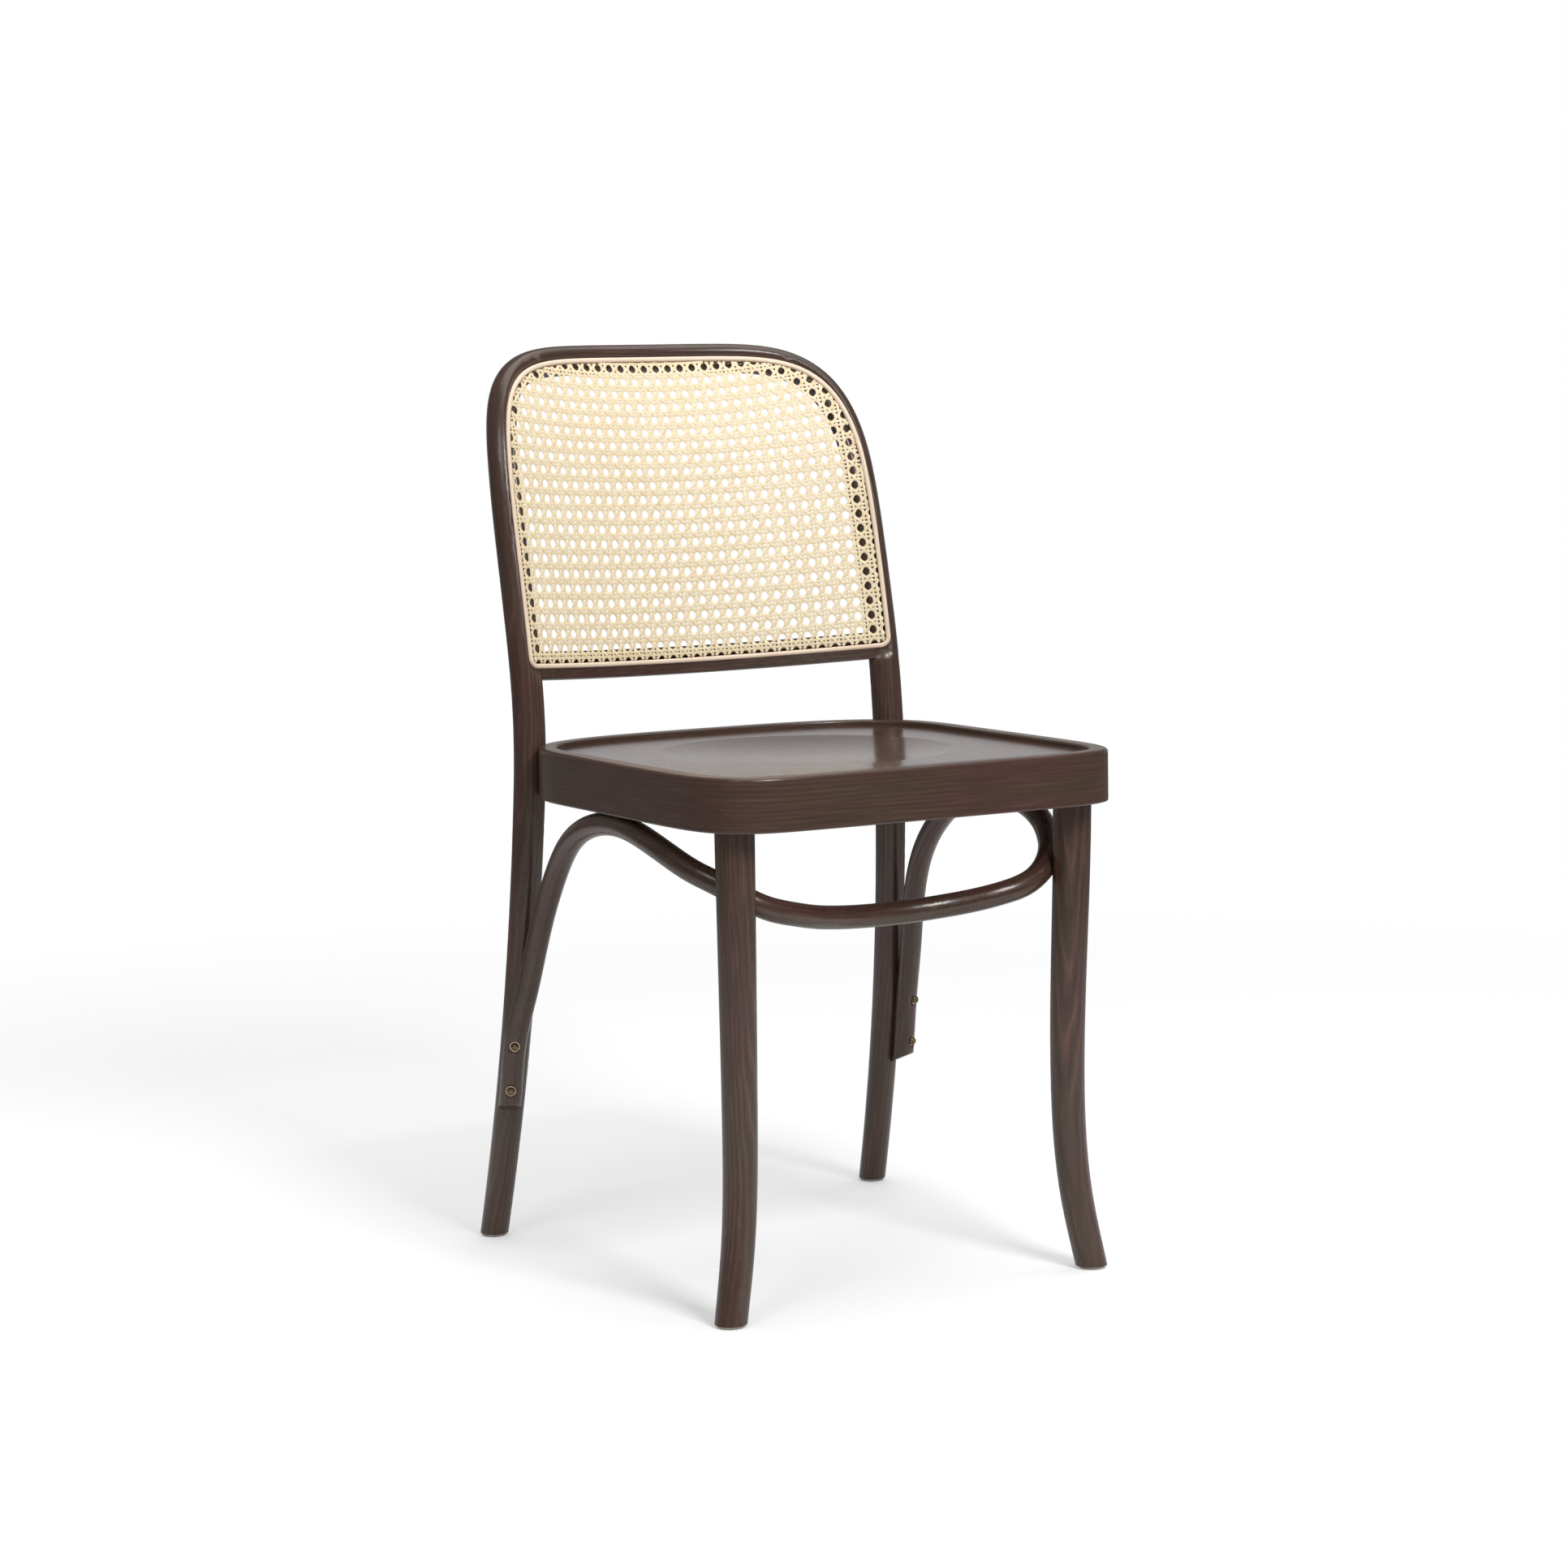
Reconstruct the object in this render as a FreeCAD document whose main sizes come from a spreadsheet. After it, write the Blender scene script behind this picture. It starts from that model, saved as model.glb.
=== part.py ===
import FreeCAD, Part
import math
import os

import Sketcher
from FreeCAD import Placement, Rotation, Vector

# Cane back chair.
# One bent bar makes both rear legs and the arch of the back. A curved rail closes the arch below,
# and the cane sheet is held on both by a spline pressed into a groove. The seat is a bent rim with
# a dished panel in its rebate. One long bent brace ties the four legs under the seat.
# Millimetres, +Z up, front towards -Y, origin on the floor under the middle of the whole chair.

doc = FreeCAD.newDocument("CaneBackChair")
sheet = doc.addObject("Spreadsheet::Sheet", "Sizes")

DRIVING_SIZES = [
    # Clearances
    ("fit_gap", 0.2, "clearance between curved faces that meet"),
    ("hole_gap", 0.1, "clearance round a shank in its hole"),
    # Seat rim, in plan two half superellipses that meet at the widest line
    ("seat_height", 465.0, "floor to the top of the seat rim"),
    ("seat_half_width", 207.8, "middle to the rim's side"),
    ("seat_front_depth", 279.0, "widest line to the rim's front"),
    ("seat_rear_depth", 141.0, "widest line to the rim's rear"),
    ("seat_front_power", 8.1, "squareness of the front half"),
    ("seat_rear_power", 3.15, "squareness of the rear half"),
    ("rim_height", 46.0, "rim, top to underside"),
    ("rim_wall", 24.0, "rim thickness below the rebate"),
    ("rim_lip", 16.0, "rim thickness above the rebate"),
    ("rim_round", 3.0, "rounding of the rim's top outer edge"),
    ("rim_ease", 1.5, "rounding of the rim's other edges"),
    # Seat panel
    ("panel_recess", 4.5, "panel top below the rim top"),
    ("panel_thickness", 12.0, "panel"),
    ("dish_radius", 132.0, "radius of the dish's edge"),
    ("dish_depth", 5.0, "depth of the dish at its middle"),
    ("dish_forward", 60.0, "dish middle ahead of the widest line"),
    # Hoop: rear legs and arch in one bar
    ("post_inset", 18.3, "post axis above the seat, inside the rim's side"),
    ("post_ahead_of_rear", 30.9, "post axis ahead of the rim's rear, at the lower bend"),
    ("hoop_foot_radius", 12.9, "rear leg at the floor"),
    ("hoop_seat_radius", 14.6, "rear leg at the seat"),
    ("hoop_top_radius", 13.9, "bar of the arch"),
    ("bend_below_seat", 45.0, "lower end of the bend, below the rim top"),
    ("bend_above_seat", 95.0, "upper end of the bend, above the rim top"),
    ("shoulder_above_seat", 235.0, "shoulder of the arch above the rim top"),
    ("crown_above_seat", 345.0, "axis of the crown above the rim top"),
    ("arch_above_seat", 60.0, "middle of the arch's superellipse above the rim top"),
    ("arch_power", 6.0, "squareness of the arch"),
    ("foot_slope", -0.286, "rearward run per rise at the floor"),
    ("seat_slope", -0.047, "the same at the lower end of the bend"),
    ("lumbar_slope", 0.200, "the same at the upper end of the bend"),
    ("shoulder_slope", 0.240, "the same at the shoulder"),
    ("crown_slope", 0.500, "the same at the crown"),
    ("splay_slope", 0.035, "sideways run per drop of the rear legs"),
    ("splay_below_seat", 25.0, "splay starts to fade, below the rim top"),
    ("splay_above_seat", 55.0, "splay has faded, above the rim top"),
    ("back_radius", 431.0, "plan radius of the back, on the bar's axis"),
    # Facet and cane
    ("facet_depth", 11.6, "bar axis to the flat that carries the cane"),
    ("facet_end", 2.0, "lower end of the flat above the rim top"),
    ("facet_runout", 36.0, "length over which the flat fades out"),
    ("groove_outside", 2.1, "groove's outer wall outside the bar's axis"),
    ("groove_width", 6.6, "groove for cane and spline"),
    ("groove_depth", 4.6, "groove below the flat"),
    ("groove_corner", 11.0, "radius of the groove's lower corners"),
    ("cane_thickness", 1.4, "cane sheet"),
    ("spline_proud", 1.9, "spline above the flat"),
    # Back rail
    ("rail_above_seat", 69.5, "middle of the rail's ends above the rim top"),
    ("rail_height", 25.0, "rail, along the back's lean"),
    ("rail_thickness", 19.0, "rail, front to rear"),
    ("rail_round", 4.0, "rounding of the rail's rear edges"),
    ("rail_planed", 1.5, "planed off the bent rail to make its flat"),
    ("dowel_radius", 4.0, "rail dowel"),
    ("dowel_length", 34.0, "rail dowel"),
    ("dowel_behind_flat", 11.5, "dowel axis behind the flat"),
    # Front legs
    ("leg_inset_side", 38.8, "leg axis inside the rim's side, at the rim"),
    ("leg_inset_front", 47.3, "leg axis inside the rim's front, at the rim"),
    ("leg_top_radius", 16.9, "front leg under the rim"),
    ("leg_foot_radius", 13.9, "front leg at the floor"),
    ("leg_waist_height", 180.0, "height of the leg's slimmest stance"),
    ("leg_waist_inward", 3.2, "axis nearer the middle at the waist"),
    ("leg_waist_rearward", 6.4, "axis further back at the waist"),
    ("leg_ankle_height", 60.0, "height where the foot starts to kick out"),
    ("leg_ankle_outward", 3.7, "axis further out at the ankle"),
    ("leg_ankle_rearward", 2.6, "axis further back at the ankle"),
    ("leg_foot_outward", 14.6, "axis further out at the floor"),
    ("leg_foot_forward", 2.8, "axis further forward at the floor"),
    ("tenon_radius", 11.0, "leg tenon"),
    ("tenon_length", 28.0, "leg tenon above its shoulder"),
    ("tenon_wedge_depth", 18.0, "wedge in the tenon's saw cut"),
    ("tenon_wedge_thickness", 3.0, "wedge at its thick end"),
    ("tenon_wedge_tip", 0.8, "wedge at its thin end"),
    ("dowel_into_rail", 7.0, "dowel's middle from the post's axis, towards the rail"),
    # Corner blocks
    ("block_reach", 28.0, "front block inside the leg's axis"),
    ("rear_block_half", 30.0, "half length of a rear block"),
    ("rear_block_thickness", 20.0, "rear block between rim and bolt head"),
    # Brace
    ("brace_radius", 10.3, "brace bar"),
    ("brace_tip_drop", 285.0, "brace ends below the rim"),
    ("brace_leave_drop", 227.0, "brace starts to leave the rear leg, below the rim"),
    ("brace_end_slope", 0.5, "rise of the brace's slanted end per run from the leg outwards"),
    ("brace_bite", 1.6, "depth of the brace's hollow round a leg"),
    ("brace_seat_flat", 0.5, "depth of the flat under the rim"),
    ("brace_turn", 27.0, "direction of the brace from the rear leg, degrees from the front"),
    ("shin_inset", 3.0, "lower rise: inside the rim's side"),
    ("shin_behind", 98.6, "lower rise: behind the widest line"),
    ("shin_drop", 178.0, "lower rise: below the rim"),
    ("calf_inset", 9.0, "upper rise: inside the rim's side"),
    ("calf_behind", 79.5, "upper rise: behind the widest line"),
    ("calf_drop", 118.5, "upper rise: below the rim"),
    ("knee_inset", 11.9, "knee: inside the rim's side"),
    ("knee_behind", 51.7, "knee: behind the widest line"),
    ("knee_drop", 67.7, "knee: below the rim"),
    ("haunch_inset", 9.8, "haunch: inside the rim's side"),
    ("haunch_behind", 6.4, "haunch: behind the widest line"),
    ("haunch_drop", 28.0, "haunch: below the rim"),
    ("apex_inset", 11.7, "highest point: inside the rim's side"),
    ("apex_ahead", 69.8, "highest point: ahead of the widest line"),
    ("fall_inset", 18.5, "front fall: inside the rim's side"),
    ("fall_ahead", 155.4, "front fall: ahead of the widest line"),
    ("fall_drop", 28.8, "front fall: below the rim"),
    ("ham_inset", 30.0, "before the front leg: inside the rim's side"),
    ("ham_ahead", 182.3, "before the front leg: ahead of the widest line"),
    ("ham_drop", 41.9, "before the front leg: below the rim"),
    ("contact_drop", 56.9, "touch on the front leg, below the rim"),
    ("contact_turn", 28.7, "direction of the touch, degrees from straight behind the leg"),
    ("corner_offset", 142.4, "front bar's corner: from the middle"),
    ("corner_ahead", 216.1, "front bar's corner: ahead of the widest line"),
    ("corner_drop", 66.3, "front bar's corner: below the rim"),
    ("quarter_offset", 119.0, "front bar's quarter: from the middle"),
    ("quarter_ahead", 219.5, "front bar's quarter: ahead of the widest line"),
    ("quarter_drop", 74.7, "front bar's quarter: below the rim"),
    ("bar_offset", 62.0, "front bar's level part: from the middle"),
    ("bar_ahead", 200.6, "front bar: ahead of the widest line"),
    ("bar_drop", 87.0, "front bar: below the rim"),
    # Fasteners
    ("brace_screw_low", 18.5, "lower brace screw above the brace's end"),
    ("brace_screw_high", 60.0, "upper brace screw above the brace's end"),
    ("brace_screw_length", 34.0, "brace screw under its head"),
    ("screw_shank_radius", 2.0, "wood screws"),
    ("screw_head_radius", 4.0, "wood screws"),
    ("screw_head_top", 2.6, "flat top of a wood screw's head"),
    ("screw_head_height", 2.4, "wood screws"),
    ("screw_point", 5.0, "tapered point of a wood screw"),
    ("screw_tip", 0.4, "radius at the very tip of a wood screw"),
    ("cup_radius", 4.8, "cup washer under a brace screw"),
    ("cup_height", 1.2, "cup washer under a brace screw"),
    ("cup_rim", 4.4, "cup washer's radius at its top"),
    ("cup_sink", 1.6, "flat seat of the cup washer, below the brace's surface"),
    ("rim_screw_length", 38.0, "screw up through the brace into the rim"),
    ("contact_screw_length", 30.0, "screw through the brace into the front leg"),
    ("front_block_screw_length", 42.0, "screws through a front block into the rim"),
    ("rear_block_screw_length", 34.0, "screws through a rear block into the rim"),
    ("panel_screw_length", 34.0, "screws up through the blocks into the panel"),
    ("screw_recess", 3.0, "depth of the flat-bottomed recess for a screw head"),
    ("front_screw_offset", 24.0, "block screw beside the middle of a front block"),
    ("rear_screw_offset", 21.0, "block screw beside the middle of a rear block"),
    ("front_panel_screw_inward", 21.8, "panel screw inside the front leg's axis"),
    ("rear_panel_screw_offset", 10.0, "panel screw beside the middle of a rear block"),
    ("rear_panel_screw_depth", 9.0, "panel screw inside the rear block's flat face"),
    ("bolt_radius", 3.0, "bolt from the rim into a rear leg"),
    ("bolt_head_radius", 5.6, "bolt head"),
    ("bolt_head_height", 4.0, "bolt head"),
    ("bolt_reach", 6.0, "bolt end past the rear leg's near face"),
    ("washer_radius", 9.0, "washer under the bolt head"),
    ("washer_thickness", 1.6, "washer under the bolt head"),
    ("insert_radius", 5.0, "threaded insert in the rear leg"),
    ("insert_length", 13.0, "threaded insert"),
    ("insert_setback", 1.5, "insert below the leg's face"),
    # Glides
    ("glide_radius", 11.0, "glide under a foot"),
    ("glide_height", 2.6, "glide under a foot"),
    ("nail_radius", 1.1, "glide nail"),
    ("nail_head_radius", 3.4, "glide nail"),
    ("nail_head_height", 0.9, "glide nail"),
    ("nail_length", 15.0, "glide nail above its head"),
]

for row, (alias, value, note) in enumerate(DRIVING_SIZES, start=1):
    sheet.set(f"A{row}", note)
    sheet.set(f"B{row}", str(value))
    sheet.setAlias(f"B{row}", alias)
doc.recompute()


def size(alias):
    """Driving dimension from the sheet."""
    return float(sheet.get(alias))


# Levels and places that follow from the driving sizes
SEAT_TOP = size("seat_height")
RIM_UNDER = SEAT_TOP - size("rim_height")
PANEL_TOP = SEAT_TOP - size("panel_recess")
BRACE_TIP = RIM_UNDER - size("brace_tip_drop")
LEDGE = PANEL_TOP - size("panel_thickness")
POST_X = size("seat_half_width") - size("post_inset")
POST_BEHIND = size("seat_rear_depth") - size("post_ahead_of_rear")
LEAN_LEVELS = [
    0.0,
    SEAT_TOP - size("bend_below_seat"),
    SEAT_TOP + size("bend_above_seat"),
    SEAT_TOP + size("shoulder_above_seat"),
    SEAT_TOP + size("crown_above_seat"),
]
LEAN_SLOPES = [
    size("foot_slope"),
    size("seat_slope"),
    size("lumbar_slope"),
    size("shoulder_slope"),
    size("crown_slope"),
]
ARCH_LEVEL = SEAT_TOP + size("arch_above_seat")
CROWN_LEVEL = LEAN_LEVELS[-1]
# Cutting tools reach past what they cut by one of these
FAR = 600.0
TOOL_REACH = 30.0
# Spacing of the circles that a bent bar is skinned over
TUBE_STEP = 25.0
CIRCLE_POLES = [(1, 0), (1, 1), (0, 1), (-1, 1), (-1, 0), (-1, -1), (0, -1), (1, -1), (1, 0)]
CIRCLE_WEIGHTS = [1, math.sqrt(0.5), 1, math.sqrt(0.5), 1, math.sqrt(0.5), 1, math.sqrt(0.5), 1]


def lean_slope(level):
    """Rearward run of the bar per rise, in straight lines between the named levels."""
    if level <= LEAN_LEVELS[0]:
        return LEAN_SLOPES[0]
    for low, high, start, end in zip(LEAN_LEVELS, LEAN_LEVELS[1:], LEAN_SLOPES, LEAN_SLOPES[1:]):
        if level <= high:
            return start + (end - start) * (level - low) / (high - low)
    return LEAN_SLOPES[-1]


def lean_from_floor(level):
    """Rearward run of the bar from the floor up to a level."""
    run = 0.0
    bottom = LEAN_LEVELS[0]
    for low, high in zip(LEAN_LEVELS, LEAN_LEVELS[1:]):
        top = min(level, high)
        if top > low:
            run += (top - low) * (lean_slope(low) + lean_slope(top)) / 2
            bottom = top
    if level > LEAN_LEVELS[-1] or level < LEAN_LEVELS[0]:
        run += (level - bottom) * lean_slope(level)
    return run


def back_plan(x):
    """How far the back's plan arc lies behind the posts."""
    radius = size("back_radius")
    return math.sqrt(radius**2 - x**2) - math.sqrt(radius**2 - POST_X**2)


# The widest line of the seat lies where the chair's front and rear are equally far from the origin
REAR_REACH = (
    POST_BEHIND
    + lean_from_floor(CROWN_LEVEL)
    - lean_from_floor(LEAN_LEVELS[1])
    + back_plan(0.0)
    + size("hoop_top_radius")
)
WIDEST_Y = (size("seat_front_depth") - REAR_REACH) / 2


def lean(level):
    """Rearward place of the bar's axis at a level, before the back's plan arc."""
    rise = lean_from_floor(level) - lean_from_floor(LEAN_LEVELS[1])
    return WIDEST_Y + POST_BEHIND + rise


def post_x(level):
    """Sideways place of a rear leg's axis: a straight splay that fades out at the seat."""
    start = SEAT_TOP - size("splay_below_seat")
    end = SEAT_TOP + size("splay_above_seat")
    fade = end - start
    if level >= end:
        return POST_X
    if level >= start:
        return POST_X + size("splay_slope") * (end - level) ** 2 / (2 * fade)
    return POST_X + size("splay_slope") * (start - level + fade / 2)


def hoop_radius(level):
    """Radius of the bent bar: slim at the foot, fullest at the seat."""
    foot, seat, top = size("hoop_foot_radius"), size("hoop_seat_radius"), size("hoop_top_radius")
    shoulder = LEAN_LEVELS[3]
    if level < SEAT_TOP:
        return foot + (seat - foot) * max(level, 0.0) / SEAT_TOP
    return seat + (top - seat) * min(1.0, (level - SEAT_TOP) / (shoulder - SEAT_TOP))


def superellipse(angle, wide, deep, power):
    """Point and outward normal of a superellipse in a polar direction."""
    c, s = math.cos(angle), math.sin(angle)
    reach = (abs(c / wide) ** power + abs(s / deep) ** power) ** (-1 / power)
    u, v = reach * c, reach * s
    nu = math.copysign(abs(u / wide) ** (power - 1) / wide, u)
    nv = math.copysign(abs(v / deep) ** (power - 1) / deep, v)
    length = math.hypot(nu, nv)
    return u, v, nu / length, nv / length


def add_shape(label, shape):
    """Put a ready shape in the document under its own name."""
    feature = doc.addObject("Part::Feature", label)
    feature.Label = label
    feature.Shape = shape
    return feature


def add_boolean(kind, label, base, tool):
    """Part::Cut or Part::Common of two document objects."""
    feature = doc.addObject(kind, label)
    feature.Label = label
    feature.Base = base
    feature.Tool = tool
    return feature


def tube(points, radius_at, side=Vector(0, -1, 0)):
    """Round bar skinned over circles that stand square to a smooth line through the points."""
    line = Part.BSplineCurve()
    line.interpolate(points)
    count = max(4, round(line.length() / TUBE_STEP))
    frames = []
    columns = [[] for _ in CIRCLE_POLES]
    for point in line.discretize(Number=count + 1):
        along = Vector(*line.tangent(line.parameter(point))[0]).normalize()
        side = (side - along * side.dot(along)).normalize()
        radius = radius_at(point)
        frames.append((point, along, side, radius))
        for column, (u, v) in zip(columns, CIRCLE_POLES):
            column.append(point + side * (u * radius) + along.cross(side) * (v * radius))
    stations = [i / count for i in range(count + 1)]
    curves = []
    for column in columns:
        curve = Part.BSplineCurve()
        curve.interpolate(Points=column, Parameters=stations)
        curves.append(curve)
    wall = Part.BSplineSurface()
    wall.buildFromPolesMultsKnots(
        [curve.getPoles() for curve in curves],
        [3, 2, 2, 2, 3],
        curves[0].getMultiplicities(),
        [0.0, 0.25, 0.5, 0.75, 1.0],
        curves[0].getKnots(),
        False,
        False,
        2,
        curves[0].Degree,
        [[weight] * curves[0].NbPoles for weight in CIRCLE_WEIGHTS],
    )
    faces = [wall.toShape()]
    for point, along, side, radius in (frames[0], frames[-1]):
        rim = Part.Wire([Part.makeCircle(radius)])
        rim.Placement = Placement(point, Rotation(side, along.cross(side), along, "ZXY"))
        faces.append(Part.Face(rim))
    shell = Part.Shell(faces)
    shell.sewShape()
    solid = Part.Solid(shell)
    if solid.Volume < 0:
        solid.reverse()
    return solid


def cylinder(place, direction, radius, length):
    """Solid cylinder from a place along a direction."""
    return Part.makeCylinder(radius, length, place, direction)


# Hoop: the bent bar of rear legs and arch
LEG_STEP = 28.0
ARCH_STEP = math.radians(5.0)


def hoop_half():
    """Axis points of the right half, from below the floor to just short of the crown."""
    points = []
    level = -LEG_STEP / 4
    while level < ARCH_LEVEL - LEG_STEP / 2:
        points.append(Vector(post_x(level), lean(level), level))
        level += LEG_STEP
    angle = 0.0
    while angle < math.pi / 2 - ARCH_STEP / 2:
        x, z, _, _ = superellipse(angle, POST_X, CROWN_LEVEL - ARCH_LEVEL, size("arch_power"))
        level = ARCH_LEVEL + z
        points.append(Vector(x, lean(level) + back_plan(x), level))
        angle += ARCH_STEP
    return points


def hoop_points():
    """Axis points of the whole hoop, right foot over the crown to left foot."""
    right = hoop_half()
    crown = Vector(0, lean(CROWN_LEVEL) + back_plan(0), CROWN_LEVEL)
    left = [Vector(-p.x, p.y, p.z) for p in reversed(right)]
    return right + [crown] + left


def hoop_bar(extra=0.0):
    """The whole bent bar, thicker by a clearance where it is a cutter."""
    points = hoop_points()
    return tube(points, lambda point: hoop_radius(point.z) + extra)


def leg_piece(low, high, extra, mirrored):
    """Stretch of a rear leg between two levels, thicker by a clearance."""
    steps = 4
    points = []
    for i in range(steps + 1):
        level = low + (high - low) * i / steps
        x = -post_x(level) if mirrored else post_x(level)
        points.append(Vector(x, lean(level), level))
    return tube(points, lambda point: hoop_radius(point.z) + extra)


# Flat of the back: one curved surface that carries the cane on hoop and rail
FLAT_HALF = POST_X + TOOL_REACH
RUNOUT_SPARE = 0.4
FLAT_COLUMNS = 16
FLAT_ROW_STEP = 16.0


def flat_y(x, level, depth):
    """Rearward place of a surface parallel to the bar's axis surface, in front of it."""
    plan_slope = x / math.sqrt(size("back_radius") ** 2 - x**2)
    steepness = math.sqrt(1 + lean_slope(level) ** 2 + plan_slope**2)
    return lean(level) + back_plan(x) - depth * steepness


def runout_depth(level):
    """Depth of the flat, which fades out of the bar just above the seat."""
    fade = (SEAT_TOP + size("facet_end") + size("facet_runout") - level) / size("facet_runout")
    extra = size("hoop_seat_radius") + RUNOUT_SPARE - size("facet_depth")
    return size("facet_depth") + extra * max(0.0, fade) ** 2


def back_surface(in_front, fading):
    """Curved face of the back, moved forward from the flat."""
    rows = []
    low, high = SEAT_TOP - TOOL_REACH, CROWN_LEVEL + TOOL_REACH
    count = int((high - low) / FLAT_ROW_STEP) + 1
    for i in range(count + 1):
        level = low + (high - low) * i / count
        depth = runout_depth(level) if fading else size("facet_depth")
        row = []
        for j in range(FLAT_COLUMNS + 1):
            x = -FLAT_HALF + 2 * FLAT_HALF * j / FLAT_COLUMNS
            row.append(Vector(x, flat_y(x, level, depth) - in_front, level))
        rows.append(row)
    surface = Part.BSplineSurface()
    surface.interpolate(rows)
    return surface.toShape()


def slab(behind, in_front):
    """Curved layer from behind the flat to in front of it."""
    return back_surface(in_front, False).extrude(Vector(0, in_front + behind, 0))


# Outline of the cane in front view, moved inwards by an inset from the bar's axis
RAIL_LEVEL = SEAT_TOP + size("rail_above_seat")
RAIL_TILT = math.atan(lean_slope(RAIL_LEVEL))
RAIL_CHORD = math.sqrt(size("back_radius") ** 2 - POST_X**2)


def rail_line(x):
    """Level of the rail's middle on its front face; it dips because the rail is square to the lean."""
    front = size("back_radius") - size("facet_depth")
    return RAIL_LEVEL - math.sin(RAIL_TILT) * (math.sqrt(front**2 - x**2) - RAIL_CHORD)


def cane_outline(inset):
    """Closed face in the XZ plane: arch and sides in one curve, round corners, dipped bottom."""
    corner = size("groove_corner") - inset - size("groove_outside")
    side = POST_X - inset
    half_width = size("groove_width") / 2 - size("groove_outside")
    bottom = rail_line(side - corner) + inset - half_width
    start = Vector(side, 0, bottom + corner)
    end = Vector(-side, 0, bottom + corner)
    points = [start]
    angle = math.atan2(bottom + 2.5 * corner - ARCH_LEVEL, side)
    last = math.pi - angle
    count = int((last - angle) / ARCH_STEP)
    for i in range(count + 1):
        turn = angle + (last - angle) * i / count
        x, z, nx, nz = superellipse(turn, POST_X, CROWN_LEVEL - ARCH_LEVEL, size("arch_power"))
        points.append(Vector(x - inset * nx, 0, ARCH_LEVEL + z - inset * nz))
    points.append(end)
    arch = Part.BSplineCurve()
    arch.interpolate(Points=points, InitialTangent=Vector(0, 0, 1), FinalTangent=Vector(0, 0, -1))
    diagonal = corner * (1 - math.sqrt(0.5))
    left_foot = Vector(-side + corner, 0, bottom)
    right_foot = Vector(side - corner, 0, bottom)
    left_mid = Vector(-side + diagonal, 0, bottom + diagonal)
    right_mid = Vector(side - diagonal, 0, bottom + diagonal)
    middle = Vector(0, 0, rail_line(0) + inset - half_width)
    edges = [
        arch.toShape(),
        Part.Arc(end, left_mid, left_foot).toShape(),
        Part.Arc(left_foot, middle, right_foot).toShape(),
        Part.Arc(right_foot, right_mid, start).toShape(),
    ]
    return Part.Face(Part.Wire(edges))


def cane_prism(inset):
    """Everything inside the outline, straight through the back."""
    face = cane_outline(inset)
    face.translate(Vector(0, -FAR / 2, 0))
    return face.extrude(Vector(0, FAR, 0))


GROOVE_OUTER = -size("groove_outside")
GROOVE_INNER = GROOVE_OUTER + size("groove_width")
GAP = size("fit_gap")
CANE_EDGE = GROOVE_INNER - GAP
CANE_FOLD = CANE_EDGE - size("cane_thickness")

groove_ring = cane_prism(GROOVE_OUTER).cut(cane_prism(GROOVE_INNER))
groove_cutter = groove_ring.common(slab(size("groove_depth"), TOOL_REACH))
flat_cutter = back_surface(2 * TOOL_REACH, True).extrude(Vector(0, 2 * TOOL_REACH, 0))


def rail_dowel_axis(side):
    """Place and direction of a dowel, in the rail's end, square to the back's radius there."""
    radius = size("back_radius") - size("facet_depth") + size("dowel_behind_flat")
    swing = math.asin(POST_X / size("back_radius"))
    rearward = Vector(0, math.cos(RAIL_TILT), -math.sin(RAIL_TILT))
    centre = Vector(0, lean(RAIL_LEVEL), RAIL_LEVEL) - rearward * RAIL_CHORD
    outward = Vector(side * math.sin(swing), 0, 0) + rearward * math.cos(swing)
    along = Vector(side * math.cos(swing), 0, 0) - rearward * math.sin(swing)
    place = centre + outward * radius
    return place, along


def rail_blank():
    """Curved bar turned about the back's axis, with eased long edges, standing proud of the flat."""
    low = size("back_radius") - size("facet_depth") - size("rail_planed")
    high = size("back_radius") - size("facet_depth") + size("rail_thickness")
    half = size("rail_height") / 2
    ease = size("rail_round")
    swing = math.degrees(math.asin(POST_X / size("back_radius")))
    corners = [
        Vector(low, 0, -half),
        Vector(high, 0, -half),
        Vector(high, 0, half),
        Vector(low, 0, half),
    ]
    profile = Part.Face(Part.makePolygon(corners + corners[:1]))
    solid = profile.revolve(Vector(0, 0, 0), Vector(0, 0, 1), 2 * swing)
    rear_edges = [
        edge for edge in solid.Edges
        if isinstance(edge.Curve, Part.Circle) and abs(edge.Curve.Radius - high) < 0.01
    ]
    solid = solid.makeFillet(ease, rear_edges)
    solid.rotate(Vector(0, 0, 0), Vector(0, 0, 1), 90 - swing)
    solid.rotate(Vector(0, 0, 0), Vector(1, 0, 0), -math.degrees(RAIL_TILT))
    rearward = Vector(0, math.cos(RAIL_TILT), -math.sin(RAIL_TILT))
    solid.translate(Vector(0, lean(RAIL_LEVEL), RAIL_LEVEL) - rearward * RAIL_CHORD)
    return solid


nodes = []


def keep(feature):
    """Mark a document object as a piece of the chair; its label names its file."""
    nodes.append(feature)
    return feature


def group(label, shapes):
    """Identical fasteners as one piece of separate solids."""
    return keep(add_shape(label, Part.makeCompound(shapes)))


def set_formulas(feature, formulas):
    """Bind properties of an object to cells of the sheet."""
    for name, formula in formulas.items():
        feature.setExpression(name, formula)


def placed(shape, place, direction):
    """Copy of a shape drawn along +Z, moved to a place and turned along a direction."""
    copy = shape.copy()
    copy.Placement = Placement(place, Rotation(Vector(0, 0, 1), direction))
    return copy


# Fastener masters, drawn along +Z from under the head


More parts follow.
